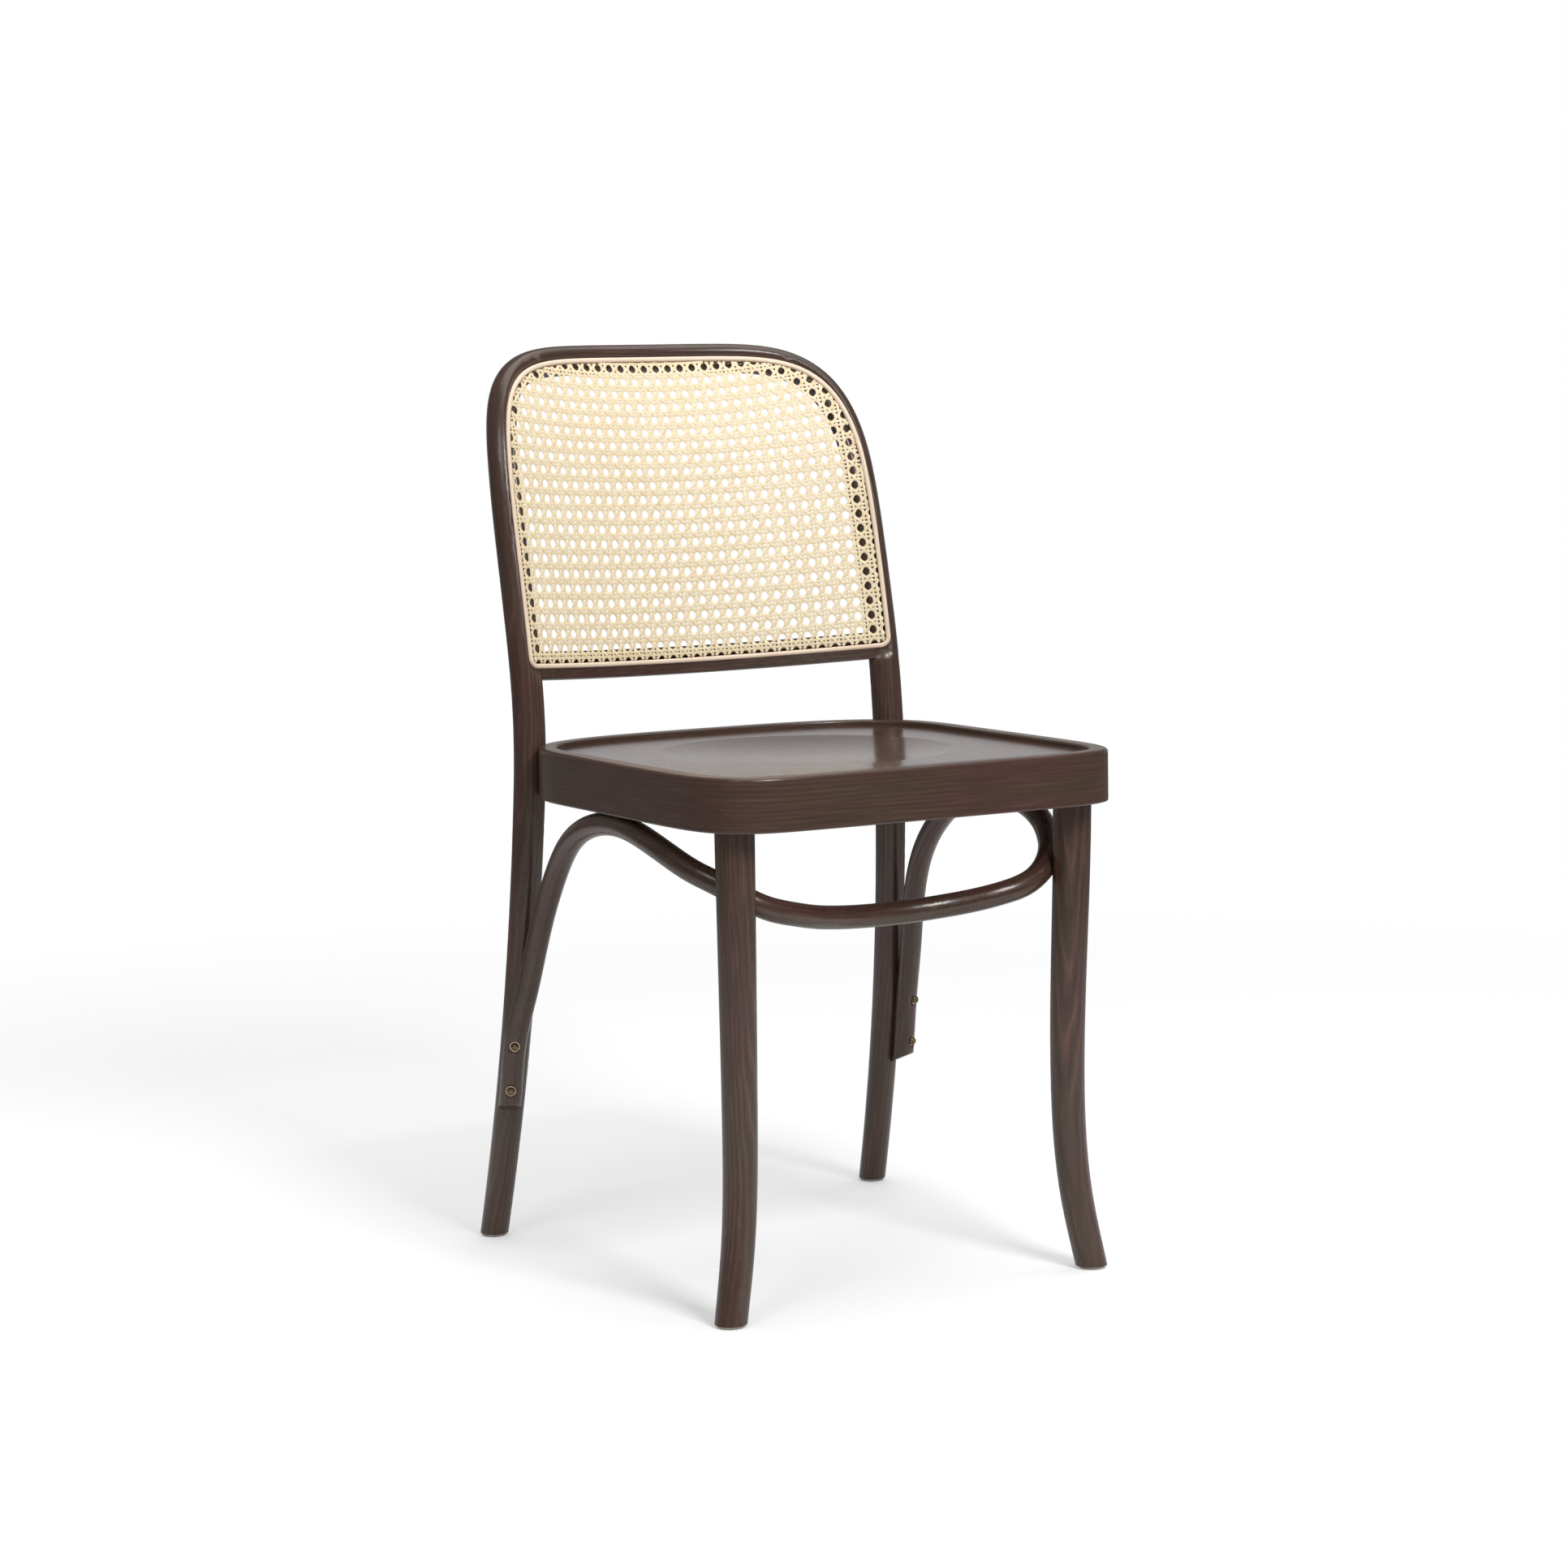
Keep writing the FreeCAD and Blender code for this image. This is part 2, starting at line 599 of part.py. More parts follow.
def screw_master(name, length):
    """Wood screw: tapered head, shank and point."""
    head = doc.addObject("Part::Cone", f"{name}_head")
    set_formulas(head, {
        "Radius1": "Sizes.screw_head_top",
        "Radius2": "Sizes.screw_head_radius",
        "Height": "Sizes.screw_head_height",
        "Placement.Base.z": "-Sizes.screw_head_height",
    })
    shank = doc.addObject("Part::Cylinder", f"{name}_shank")
    set_formulas(shank, {
        "Radius": "Sizes.screw_shank_radius",
        "Height": f"Sizes.{length} - Sizes.screw_point",
    })
    point = doc.addObject("Part::Cone", f"{name}_point")
    set_formulas(point, {
        "Radius1": "Sizes.screw_shank_radius",
        "Radius2": "Sizes.screw_tip",
        "Height": "Sizes.screw_point",
        "Placement.Base.z": f"Sizes.{length} - Sizes.screw_point",
    })
    screw = doc.addObject("Part::MultiFuse", name)
    screw.Shapes = [head, shank, point]
    return screw


def bolt_master():
    """Hexagon bolt."""
    head = doc.addObject("Part::Prism", "bolt_head")
    head.Polygon = 6
    set_formulas(head, {
        "Circumradius": "Sizes.bolt_head_radius",
        "Height": "Sizes.bolt_head_height",
        "Placement.Base.z": "-Sizes.bolt_head_height",
    })
    shank = doc.addObject("Part::Cylinder", "bolt_shank")
    set_formulas(shank, {
        "Radius": "Sizes.bolt_radius",
        "Height": "Sizes.washer_thickness + Sizes.rear_block_thickness + Sizes.rim_wall"
        " + Sizes.bolt_reach",
    })
    bolt = doc.addObject("Part::MultiFuse", "bolt")
    bolt.Shapes = [head, shank]
    return bolt


def origin_plane(body, role):
    """One of a body's own origin planes."""
    return next(item for item in body.Origin.OriginFeatures if item.Role == role)


def circle_sketch(body, name, radii):
    """Sketch of concentric circles on the body's XY plane, radii bound to the sheet."""
    sketch = body.newObject("Sketcher::SketchObject", name)
    sketch.AttachmentSupport = [(origin_plane(body, "XY_Plane"), "")]
    sketch.MapMode = "FlatFace"
    for index, formula in enumerate(radii):
        sketch.addGeometry(Part.Circle(Vector(0, 0, 0), Vector(0, 0, 1), 10.0 - 3.0 * index), False)
        sketch.addConstraint(Sketcher.Constraint("Coincident", index, 3, -1, 1))
        radius = sketch.addConstraint(Sketcher.Constraint("Radius", index, 10.0 - 3.0 * index))
        sketch.setExpression(f"Constraints[{radius}]", formula)
    return sketch


def ring_body(name, radii, height):
    """Body padded from concentric circles: a washer, a sleeve or a disc."""
    body = doc.addObject("PartDesign::Body", name)
    body.Label = name
    sketch = circle_sketch(body, f"{name}_outline", radii)
    pad = body.newObject("PartDesign::Pad", f"{name}_pad")
    pad.Profile = sketch
    pad.setExpression("Length", height)
    sketch.Visibility = False
    body.Tip = pad
    return body


def glide_body(name):
    """Glide: a disc with a recess in its top for the nail's head."""
    body = ring_body(name, ["Sizes.glide_radius"], "Sizes.glide_height")
    doc.recompute()
    recess = body.newObject("PartDesign::Pocket", f"{name}_recess")
    sketch = circle_sketch(body, f"{name}_recess_outline", ["Sizes.nail_head_radius + Sizes.hole_gap"])
    sketch.setExpression("AttachmentOffset.Base.z", "Sizes.glide_height")
    recess.Profile = sketch
    recess.setExpression("Length", "Sizes.nail_head_height")
    body.Tip = recess
    return body


def cup_master():
    """Cup washer: a low cone with a hole."""
    cone = doc.addObject("Part::Cone", "cup_cone")
    set_formulas(cone, {
        "Radius1": "Sizes.cup_rim",
        "Radius2": "Sizes.cup_radius",
        "Height": "Sizes.cup_height",
    })
    hole = doc.addObject("Part::Cylinder", "cup_hole")
    set_formulas(hole, {
        "Radius": "Sizes.screw_shank_radius + Sizes.hole_gap",
        "Height": "Sizes.cup_height",
    })
    return add_boolean("Part::Cut", "cup", cone, hole)


def nail_master():
    """Glide nail: flat head below, shank upwards, square end."""
    head = doc.addObject("Part::Cylinder", "nail_head")
    set_formulas(head, {
        "Radius": "Sizes.nail_head_radius",
        "Height": "Sizes.nail_head_height",
        "Placement.Base.z": "-Sizes.nail_head_height",
    })
    shank = doc.addObject("Part::Cylinder", "nail_shank")
    set_formulas(shank, {"Radius": "Sizes.nail_radius", "Height": "Sizes.nail_length"})
    nail = doc.addObject("Part::MultiFuse", "nail")
    nail.Shapes = [head, shank]
    return nail


# Seat rim and panel
RIM_STEP = 5


def rim_outline(inset):
    """Closed curve round the seat, moved inwards from the rim's outer wall."""
    points = []
    for degrees in range(0, 360, RIM_STEP):
        rear = degrees <= 180
        deep = size("seat_rear_depth") if rear else size("seat_front_depth")
        power = size("seat_rear_power") if rear else size("seat_front_power")
        wide = size("seat_half_width")
        x, y, nx, ny = superellipse(math.radians(degrees), wide, deep, power)
        points.append(Vector(x - inset * nx, WIDEST_Y + y - inset * ny, 0))
    curve = Part.BSplineCurve()
    curve.interpolate(Points=points, PeriodicFlag=True)
    return Part.Wire([curve.toShape()])


def rim_prism(label, inset, level, length):
    """Upright prism inside the rim's outline, its height bound to the sheet."""
    face = Part.Face(rim_outline(inset))
    face.translate(Vector(0, 0, level))
    profile = add_shape(f"{label}_outline", face)
    prism = doc.addObject("Part::Extrusion", label)
    prism.Label = label
    prism.Base = profile
    prism.DirMode = "Custom"
    prism.Dir = Vector(0, 0, 1)
    prism.Solid = True
    prism.setExpression("LengthFwd", length)
    return prism


def edges_at(shape, level):
    """Numbers of the edges that lie flat at a level, the outermost first."""
    found = []
    for number, edge in enumerate(shape.Edges, start=1):
        box = edge.BoundBox
        if abs(box.ZMin - level) < 0.01 and abs(box.ZMax - level) < 0.01:
            found.append((edge.Length, number))
    found.sort(reverse=True)
    return [number for _, number in found]


def dish_cutter():
    """Ball that hollows the panel."""
    depth, edge = size("dish_depth"), size("dish_radius")
    radius = (edge**2 + depth**2) / (2 * depth)
    ball = doc.addObject("Part::Sphere", "dish_ball")
    ball.Radius = radius
    centre = Vector(0, WIDEST_Y - size("dish_forward"), PANEL_TOP - depth + radius)
    ball.Placement = Placement(centre, Rotation())
    return ball


rim_outer = rim_prism("rim_outer", 0.0, RIM_UNDER, "Sizes.rim_height")
rim_bore = rim_prism("rim_bore", size("rim_wall"), RIM_UNDER, "Sizes.rim_height")
rim_rebate = rim_prism(
    "rim_rebate", size("rim_lip"), LEDGE, "Sizes.panel_thickness + Sizes.panel_recess"
)
panel_blank = rim_prism("panel_blank", size("rim_lip") + GAP, LEDGE, "Sizes.panel_thickness")
inside_rim = rim_prism(
    "inside_rim",
    size("rim_wall") + GAP,
    RIM_UNDER,
    "Sizes.rim_height - Sizes.panel_thickness - Sizes.panel_recess",
)
rim_ring = add_boolean("Part::Cut", "rim_ring", rim_outer, rim_bore)
rim_stepped = add_boolean("Part::Cut", "rim_stepped", rim_ring, rim_rebate)
doc.recompute()

rim_eased = doc.addObject("Part::Fillet", "rim_eased")
rim_eased.Base = rim_stepped
top_edges = edges_at(rim_stepped.Shape, SEAT_TOP)
under_edges = edges_at(rim_stepped.Shape, RIM_UNDER)
rim_eased.Edges = [
    (top_edges[0], size("rim_round"), size("rim_round")),
    (top_edges[-1], size("rim_ease"), size("rim_ease")),
    (under_edges[0], size("rim_ease"), size("rim_ease")),
    (under_edges[-1], size("rim_ease"), size("rim_ease")),
]
seat_dished = add_boolean("Part::Cut", "seat_dished", panel_blank, dish_cutter())
doc.recompute()

# Front legs
LEG_TOP = Vector(
    size("seat_half_width") - size("leg_inset_side"),
    WIDEST_Y - size("seat_front_depth") + size("leg_inset_front"),
    RIM_UNDER,
)


def leg_line(side):
    """Points of a front leg's axis, from just below the floor to inside the rim."""
    foot_out, foot_back = size("leg_foot_outward"), -size("leg_foot_forward")
    ankle_out, ankle_back = size("leg_ankle_outward"), size("leg_ankle_rearward")
    stances = [
        (0.0, foot_out, foot_back),
        (size("leg_ankle_height"), ankle_out, ankle_back),
        (size("leg_waist_height"), -size("leg_waist_inward"), size("leg_waist_rearward")),
        (RIM_UNDER, 0.0, 0.0),
        (RIM_UNDER + size("leg_top_radius"), 0.0, 0.0),
    ]
    points = []
    for level, outward, rearward in stances:
        points.append(Vector(side * (LEG_TOP.x + outward), LEG_TOP.y + rearward, level))
    below = points[0] + (points[0] - points[1]).normalize() * TOOL_REACH / 3
    return [below] + points


def leg_radius(point):
    """Front leg's radius, growing steadily from the floor to the rim."""
    foot, top = size("leg_foot_radius"), size("leg_top_radius")
    return foot + (top - foot) * max(0.0, point.z) / RIM_UNDER


def leg_axis_at(side, level):
    """Point of a front leg's axis at a level."""
    line = Part.BSplineCurve()
    line.interpolate(leg_line(side))
    cut = line.toShape().section(Part.makePlane(FAR, FAR, Vector(-FAR / 2, -FAR / 2, level)))
    return cut.Vertexes[0].Point


def layer(low, high):
    """Everything between two levels."""
    return Part.makeBox(FAR, FAR, high - low, Vector(-FAR / 2, -FAR / 2, low))


# Brace
BRACE_END_SPARE = 1.0


def rear_contact(side, level):
    """Brace axis beside a rear leg, and the direction from the leg to it."""
    axis = Vector(side * post_x(level), lean(level), level)
    above = Vector(side * post_x(level + 1), lean(level + 1), level + 1)
    along = (above - axis).normalize()
    turn = math.radians(size("brace_turn"))
    outward = Vector(side * math.sin(turn), -math.cos(turn), 0)
    outward = (outward - along * outward.dot(along)).normalize()
    reach = hoop_radius(level) + size("brace_radius") - size("brace_bite")
    return axis + outward * reach, outward


def front_contact(side):
    """Brace axis behind a front leg, and the direction from the leg to it."""
    level = RIM_UNDER - size("contact_drop")
    axis = leg_axis_at(side, level)
    turn = math.radians(size("contact_turn"))
    outward = Vector(-side * math.sin(turn), math.cos(turn), 0)
    reach = leg_radius(axis) + size("brace_radius") - size("brace_bite")
    return axis + outward * reach, outward


def brace_point(side, inset, behind, drop):
    """Point of the brace's axis, given from the rim's side, the widest line and the rim's underside."""
    return Vector(side * (size("seat_half_width") - inset), WIDEST_Y + behind, RIM_UNDER - drop)


def brace_side(side):
    """Points of the brace's axis on one side, from the rear leg to the front bar."""
    leave = RIM_UNDER - size("brace_leave_drop")
    overrun = size("brace_radius") * size("brace_end_slope") + BRACE_END_SPARE
    corner_x = size("seat_half_width") - size("corner_offset")
    middle_x = size("seat_half_width") - size("bar_offset")
    quarter_x = size("seat_half_width") - size("quarter_offset")
    apex_drop = size("brace_radius") - size("brace_seat_flat")
    return [
        rear_contact(side, BRACE_TIP - overrun)[0],
        rear_contact(side, (BRACE_TIP + leave) / 2)[0],
        rear_contact(side, leave)[0],
        brace_point(side, size("shin_inset"), size("shin_behind"), size("shin_drop")),
        brace_point(side, size("calf_inset"), size("calf_behind"), size("calf_drop")),
        brace_point(side, size("knee_inset"), size("knee_behind"), size("knee_drop")),
        brace_point(side, size("haunch_inset"), size("haunch_behind"), size("haunch_drop")),
        brace_point(side, size("apex_inset"), -size("apex_ahead"), apex_drop),
        brace_point(side, size("fall_inset"), -size("fall_ahead"), size("fall_drop")),
        brace_point(side, size("ham_inset"), -size("ham_ahead"), size("ham_drop")),
        front_contact(side)[0],
        brace_point(side, corner_x, -size("corner_ahead"), size("corner_drop")),
        brace_point(side, quarter_x, -size("quarter_ahead"), size("quarter_drop")),
        brace_point(side, middle_x, -size("bar_ahead"), size("bar_drop")),
    ]


# The bar's seam lies square to the screws at its ends, clear of their recesses
brace_turn = math.radians(size("brace_turn"))
brace_seam = Vector(math.cos(brace_turn), -math.sin(brace_turn), 0)
brace_points = brace_side(-1) + list(reversed(brace_side(1)))
brace_bar = tube(brace_points, lambda point: size("brace_radius"), brace_seam)

# Corner blocks


def drilled(shape, cutters):
    """Shape with each cutter that reaches it taken out, one after the other."""
    for cutter in cutters:
        if shape.BoundBox.intersect(cutter.BoundBox):
            shape = shape.cut(cutter)
    return shape


def slanted_box(middle, outward, half_length, depth, low, high):
    """Box with one face through a point, square to a level direction, reaching outwards."""
    across = Vector(-outward.y, outward.x, 0) * half_length
    start = Vector(middle.x, middle.y, low)
    corners = [start - across, start + across, start + across + outward * depth,
               start - across + outward * depth]
    return Part.Face(Part.makePolygon(corners + corners[:1])).extrude(Vector(0, 0, high - low))


def front_block_face(side):
    """Middle of a front block's flat face, and the direction outwards."""
    outward = Vector(side, -1, 0).normalize()
    axis = Vector(side * LEG_TOP.x, LEG_TOP.y, RIM_UNDER)
    return axis - outward * size("block_reach"), outward


POST_LEVEL = (RIM_UNDER + LEDGE) / 2


def rear_block_face(side):
    """Middle of a rear block's flat face, the direction outwards, and the rim's nearest point."""
    post = Vector(side * post_x(POST_LEVEL), lean(POST_LEVEL), 0)
    rim_point = rim_outline(0.0).distToShape(Part.Vertex(post))[1][0][0]
    outward = (post - rim_point).normalize()
    inwards = size("rim_wall") + size("rear_block_thickness")
    middle = rim_point - outward * inwards
    return Vector(middle.x, middle.y, POST_LEVEL), outward, rim_point


def block_shapes():
    """The four corner blocks, cut from the space inside the rim."""
    blocks = {}
    for side, name in ((-1, "left"), (1, "right")):
        middle, outward = front_block_face(side)
        box = slanted_box(middle, outward, FAR, FAR, RIM_UNDER, LEDGE)
        blocks[f"corner_block_front_{name}"] = inside_rim.Shape.common(box)
        middle, outward, _ = rear_block_face(side)
        box = slanted_box(middle, outward, size("rear_block_half"), FAR, RIM_UNDER, LEDGE)
        blocks[f"corner_block_rear_{name}"] = inside_rim.Shape.common(box)
    return blocks


# Fasteners and the holes that they need
brace_screw = screw_master("brace_screw", "brace_screw_length")
rim_screw = screw_master("rim_screw", "rim_screw_length")
contact_screw = screw_master("contact_screw", "contact_screw_length")
front_block_screw = screw_master("front_block_screw", "front_block_screw_length")
rear_block_screw = screw_master("rear_block_screw", "rear_block_screw_length")
panel_screw = screw_master("panel_screw", "panel_screw_length")
bolt = bolt_master()
washer = ring_body("washer", ["Sizes.washer_radius", "Sizes.bolt_radius + Sizes.hole_gap"],
                   "Sizes.washer_thickness")
insert = ring_body("insert", ["Sizes.insert_radius", "Sizes.bolt_radius + Sizes.hole_gap"],
                   "Sizes.insert_length")
cup = cup_master()
nail = nail_master()
doc.recompute()

HOLE = size("hole_gap")
holes = []


def drive(master, place, direction, length, recess=0.0):
    """Place a screw and note the hole for its shank and, where sunk, its head."""
    holes.append(cylinder(place, direction, size("screw_shank_radius") + HOLE, length + HOLE))
    if recess:
        radius = size("screw_head_radius") + 2 * HOLE
        start = place - direction * (recess + TOOL_REACH)
        holes.append(cylinder(start, direction, radius, recess + TOOL_REACH))
    return placed(master.Shape, place, direction)


brace_screws, cups, rim_screws, contact_screws = [], [], [], []
block_screws, panel_screws, bolts, washers, inserts = [], [], [], [], []
UP = Vector(0, 0, 1)
for side in (-1, 1):
    for above in (size("brace_screw_low"), size("brace_screw_high")):
        axis, outward = rear_contact(side, BRACE_TIP + above)
        seat = axis + outward * (size("brace_radius") - size("cup_sink"))
        holes.append(cylinder(seat, outward, size("cup_radius") + 2 * HOLE, TOOL_REACH))
        cups.append(placed(cup.Shape, seat, outward))
        top = seat + outward * size("cup_height")
        brace_screws.append(drive(brace_screw, top, outward * -1, size("brace_screw_length")))
    apex = brace_point(side, size("apex_inset"), -size("apex_ahead"),
                       2 * size("brace_radius") - size("brace_seat_flat") - size("screw_recess"))
    rim_screws.append(drive(rim_screw, apex, UP, size("rim_screw_length"), size("screw_recess")))
    axis, outward = front_contact(side)
    seat = axis + outward * (size("brace_radius") - size("screw_recess"))
    contact_screws.append(
        drive(contact_screw, seat, outward * -1, size("contact_screw_length"), size("screw_recess"))
    )
    middle, outward = front_block_face(side)
    across = Vector(-outward.y, outward.x, 0)
    for offset in (-size("front_screw_offset"), size("front_screw_offset")):
        place = Vector(middle.x, middle.y, POST_LEVEL) + across * offset
        length = size("front_block_screw_length")
        block_screws.append(drive(front_block_screw, place, outward, length))
    place = Vector(side * LEG_TOP.x, LEG_TOP.y, RIM_UNDER + size("screw_recess"))
    place = place - outward * size("front_panel_screw_inward")
    panel_screws.append(
        drive(panel_screw, place, UP, size("panel_screw_length"), size("screw_recess"))
    )
    middle, outward, rim_point = rear_block_face(side)
    across = Vector(-outward.y, outward.x, 0)
    for offset in (-size("rear_screw_offset"), size("rear_screw_offset")):
        length = size("rear_block_screw_length")
        block_screws.append(drive(rear_block_screw, middle + across * offset, outward, length))
    place = middle + across * (side * size("rear_panel_screw_offset"))
    place = place + outward * size("rear_panel_screw_depth")
    place = Vector(place.x, place.y, RIM_UNDER + size("screw_recess"))
    panel_screws.append(
        drive(panel_screw, place, UP, size("panel_screw_length"), size("screw_recess"))
    )
    washers.append(placed(washer.Shape, middle - outward * size("washer_thickness"), outward))
    bolts.append(placed(bolt.Shape, middle - outward * size("washer_thickness"), outward))
    bolt_length = size("rear_block_thickness") + size("rim_wall") + size("bolt_reach")
    holes.append(cylinder(middle, outward, size("bolt_radius") + HOLE, bolt_length + HOLE))
    post = Vector(side * post_x(POST_LEVEL), lean(POST_LEVEL), POST_LEVEL)
    leg_face = post - outward * hoop_radius(POST_LEVEL)
    start = leg_face + outward * size("insert_setback")
    inserts.append(placed(insert.Shape, start, outward))
    depth = size("insert_setback") + size("insert_length")
    holes.append(cylinder(leg_face - outward * HOLE, outward, size("insert_radius") + HOLE, depth + HOLE))

# Back: hoop, rail, dowels, cane and spline


def dowel_shapes(radius):
    """Both rail dowels, or with a clearance their holes."""
    shapes = []
    for side in (-1, 1):
        place, along = rail_dowel_axis(side)
        start = place - along * (size("dowel_length") / 2 + size("dowel_into_rail"))
        shapes.append(cylinder(start, along, radius, size("dowel_length")))
    return shapes


dowel_holes = dowel_shapes(size("dowel_radius") + HOLE)
above_glides = layer(size("glide_height"), CROWN_LEVEL + FAR)
feet = []
for side in (-1, 1):
    feet.append(Vector(side * post_x(0.0), lean(0.0), size("glide_height")))
    feet.append(Vector(side * (LEG_TOP.x + size("leg_foot_outward")),
                       LEG_TOP.y - size("leg_foot_forward"), size("glide_height")))
nails = [placed(nail.Shape, foot, UP) for foot in feet]
nail_holes = [
    cylinder(foot, UP, size("nail_radius") + HOLE, size("nail_length") + HOLE) for foot in feet
]

back_hoop = hoop_bar().common(above_glides).cut(flat_cutter).cut(groove_cutter)
back_hoop = drilled(back_hoop, dowel_holes + nail_holes + holes)
back_rail = rail_blank().cut(hoop_bar(GAP)).cut(flat_cutter).cut(groove_cutter)
back_rail = drilled(back_rail, dowel_holes)
keep(add_shape("back_hoop", back_hoop))
keep(add_shape("back_rail", back_rail))
group("rail_dowels", dowel_shapes(size("dowel_radius")))

cane_layer = cane_prism(CANE_FOLD).common(slab(-GAP, GAP + size("cane_thickness")))
cane_edge = cane_prism(CANE_FOLD).cut(cane_prism(CANE_EDGE))
cane_edge = cane_edge.common(slab(size("groove_depth") - GAP, GAP + size("cane_thickness")))
keep(add_shape("cane_mesh", cane_layer.fuse(cane_edge)))
spline_ring = cane_prism(GROOVE_OUTER + GAP).cut(cane_prism(CANE_FOLD - GAP))
cane_spline = spline_ring.common(slab(size("groove_depth") - GAP, size("spline_proud")))
keep(add_shape("cane_spline", cane_spline))

# Seat
post_notches = [
    leg_piece(RIM_UNDER - TOOL_REACH, SEAT_TOP + TOOL_REACH, GAP, mirrored)
    for mirrored in (True, False)
]
tenon_holes = [
    cylinder(Vector(side * LEG_TOP.x, LEG_TOP.y, RIM_UNDER), UP, size("tenon_radius") + HOLE,
             LEDGE - RIM_UNDER)
    for side in (-1, 1)
]
keep(add_shape("seat_rim", drilled(rim_eased.Shape, post_notches + tenon_holes + holes)))
keep(add_shape("seat_panel", drilled(seat_dished.Shape, holes)))
for name, block in block_shapes().items():
    keep(add_shape(name, drilled(block, tenon_holes + holes)))

# Front legs with their wedged tenons


def wedge_shape(side):
    """Wedge in the tenon's saw cut, thick end up."""
    tenon_top = RIM_UNDER + size("tenon_length")
    thick, thin = size("tenon_wedge_thickness") / 2, size("tenon_wedge_tip") / 2
    low = tenon_top - size("tenon_wedge_depth")
    start = LEG_TOP.y - size("tenon_radius")
    x = side * LEG_TOP.x
    corners = [
        Vector(x - thin, start, low),
        Vector(x + thin, start, low),
        Vector(x + thick, start, tenon_top),
        Vector(x - thick, start, tenon_top),
    ]
    wedge = Part.Face(Part.makePolygon(corners + corners[:1]))
    wedge = wedge.extrude(Vector(0, 2 * size("tenon_radius"), 0))
    return wedge.common(tenon_shape(side))


def tenon_shape(side):
    """Round tenon above a front leg's shoulder."""
    return cylinder(Vector(side * LEG_TOP.x, LEG_TOP.y, RIM_UNDER), UP, size("tenon_radius"),
                    size("tenon_length"))


wedges = [wedge_shape(side) for side in (-1, 1)]
leg_clearance = []
for side, name in ((-1, "left"), (1, "right")):
    leg_bar = tube(leg_line(side), leg_radius)
    leg = leg_bar.common(layer(size("glide_height"), RIM_UNDER)).fuse(tenon_shape(side))
    leg = drilled(leg, wedges + nail_holes + holes)
    keep(add_shape(f"front_leg_{name}", leg))
    leg_clearance.append(tube(leg_line(side), lambda point: leg_radius(point) + GAP))
group("tenon_wedges", wedges)

# Brace, hollowed round the legs, flat under the rim and cut aslant at its ends
for mirrored in (True, False):
    leg_clearance.append(leg_piece(BRACE_TIP - TOOL_REACH, RIM_UNDER, GAP, mirrored))
brace_ends = []
for side in (-1, 1):
    axis, outward = rear_contact(side, BRACE_TIP)
    downward = (outward * size("brace_end_slope") - UP).normalize()
    brace_ends.append(cylinder(axis, downward, TOOL_REACH, TOOL_REACH))
leg_brace = drilled(brace_bar, brace_ends + [layer(RIM_UNDER, SEAT_TOP)] + leg_clearance + holes)
keep(add_shape("leg_brace", leg_brace))

# Fasteners
group("corner_block_screws", block_screws)
group("seat_panel_screws", panel_screws)
group("rear_leg_bolts", bolts)
group("bolt_washers", washers)
group("threaded_inserts", inserts)
group("brace_leg_screws", brace_screws)
group("brace_cup_washers", cups)
group("brace_rim_screws", rim_screws)
group("brace_front_screws", contact_screws)

# Glides
for foot, name in zip(feet, ("rear_left", "front_left", "rear_right", "front_right")):
    glide = keep(glide_body(f"glide_{name}"))
    doc.recompute()
    glide.Placement = Placement(Vector(foot.x, foot.y, 0), Rotation())
group("glide_nails", nails)

doc.recompute()
for feature in doc.Objects:
    if "Invalid" in feature.State or "Error" in feature.State:
        raise RuntimeError(f"{feature.Name} failed: {feature.State}")
for feature in nodes:
    if feature.Shape.isNull() or not feature.Shape.isValid():
        raise RuntimeError(f"{feature.Label} has no valid shape")

os.makedirs("parts", exist_ok=True)
for feature in nodes:
    feature.Shape.exportStep(f"parts/{feature.Label}.step")
    print(feature.Label, len(feature.Shape.Solids), "solids", round(feature.Shape.Volume), "mm3")
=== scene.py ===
"""Looks of the cane back chair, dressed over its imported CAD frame, in metres.

The bent wood keeps its CAD shapes and gets stained beech whose grain runs along each bend. The
plain cane sheet is replaced by woven strands, and its square spline by a rounded one.
"""

import logging
import math
from collections.abc import Iterator, Sequence
from dataclasses import dataclass, field
from enum import Enum

import bmesh
import bpy
import numpy as np
from mathutils import Matrix, Vector

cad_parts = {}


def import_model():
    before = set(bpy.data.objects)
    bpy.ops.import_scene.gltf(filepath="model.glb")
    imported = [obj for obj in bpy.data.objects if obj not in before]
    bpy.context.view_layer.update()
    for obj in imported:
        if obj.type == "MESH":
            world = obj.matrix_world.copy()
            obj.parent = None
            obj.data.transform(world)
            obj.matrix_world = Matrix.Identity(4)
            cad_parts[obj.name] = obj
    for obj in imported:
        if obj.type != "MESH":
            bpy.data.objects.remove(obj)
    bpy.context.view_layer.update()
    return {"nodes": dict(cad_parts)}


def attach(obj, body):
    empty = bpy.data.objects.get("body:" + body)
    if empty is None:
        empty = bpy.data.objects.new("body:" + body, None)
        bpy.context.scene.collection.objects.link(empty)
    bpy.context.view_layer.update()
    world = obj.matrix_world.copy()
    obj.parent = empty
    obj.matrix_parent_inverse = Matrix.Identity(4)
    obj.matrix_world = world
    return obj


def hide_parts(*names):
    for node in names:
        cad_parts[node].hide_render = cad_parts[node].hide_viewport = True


LOG = logging.getLogger("cane_back_chair")
BODY = "root"
GRAIN = "grain"
WELD = 1e-5  # distance within which vertices are one
LEG_PLACE = (0.172, -0.222)  # x and y of the front legs' middles
SHARP_ANGLE = math.radians(32.0)
PARALLEL = 0.9  # cosine above which two directions are too alike
LINE_STEPS = 8  # points of a smooth line for each given point
TINY = 1e-6  # keeps a power of zero finite
WHITE = (1.0, 1.0, 1.0, 1.0)

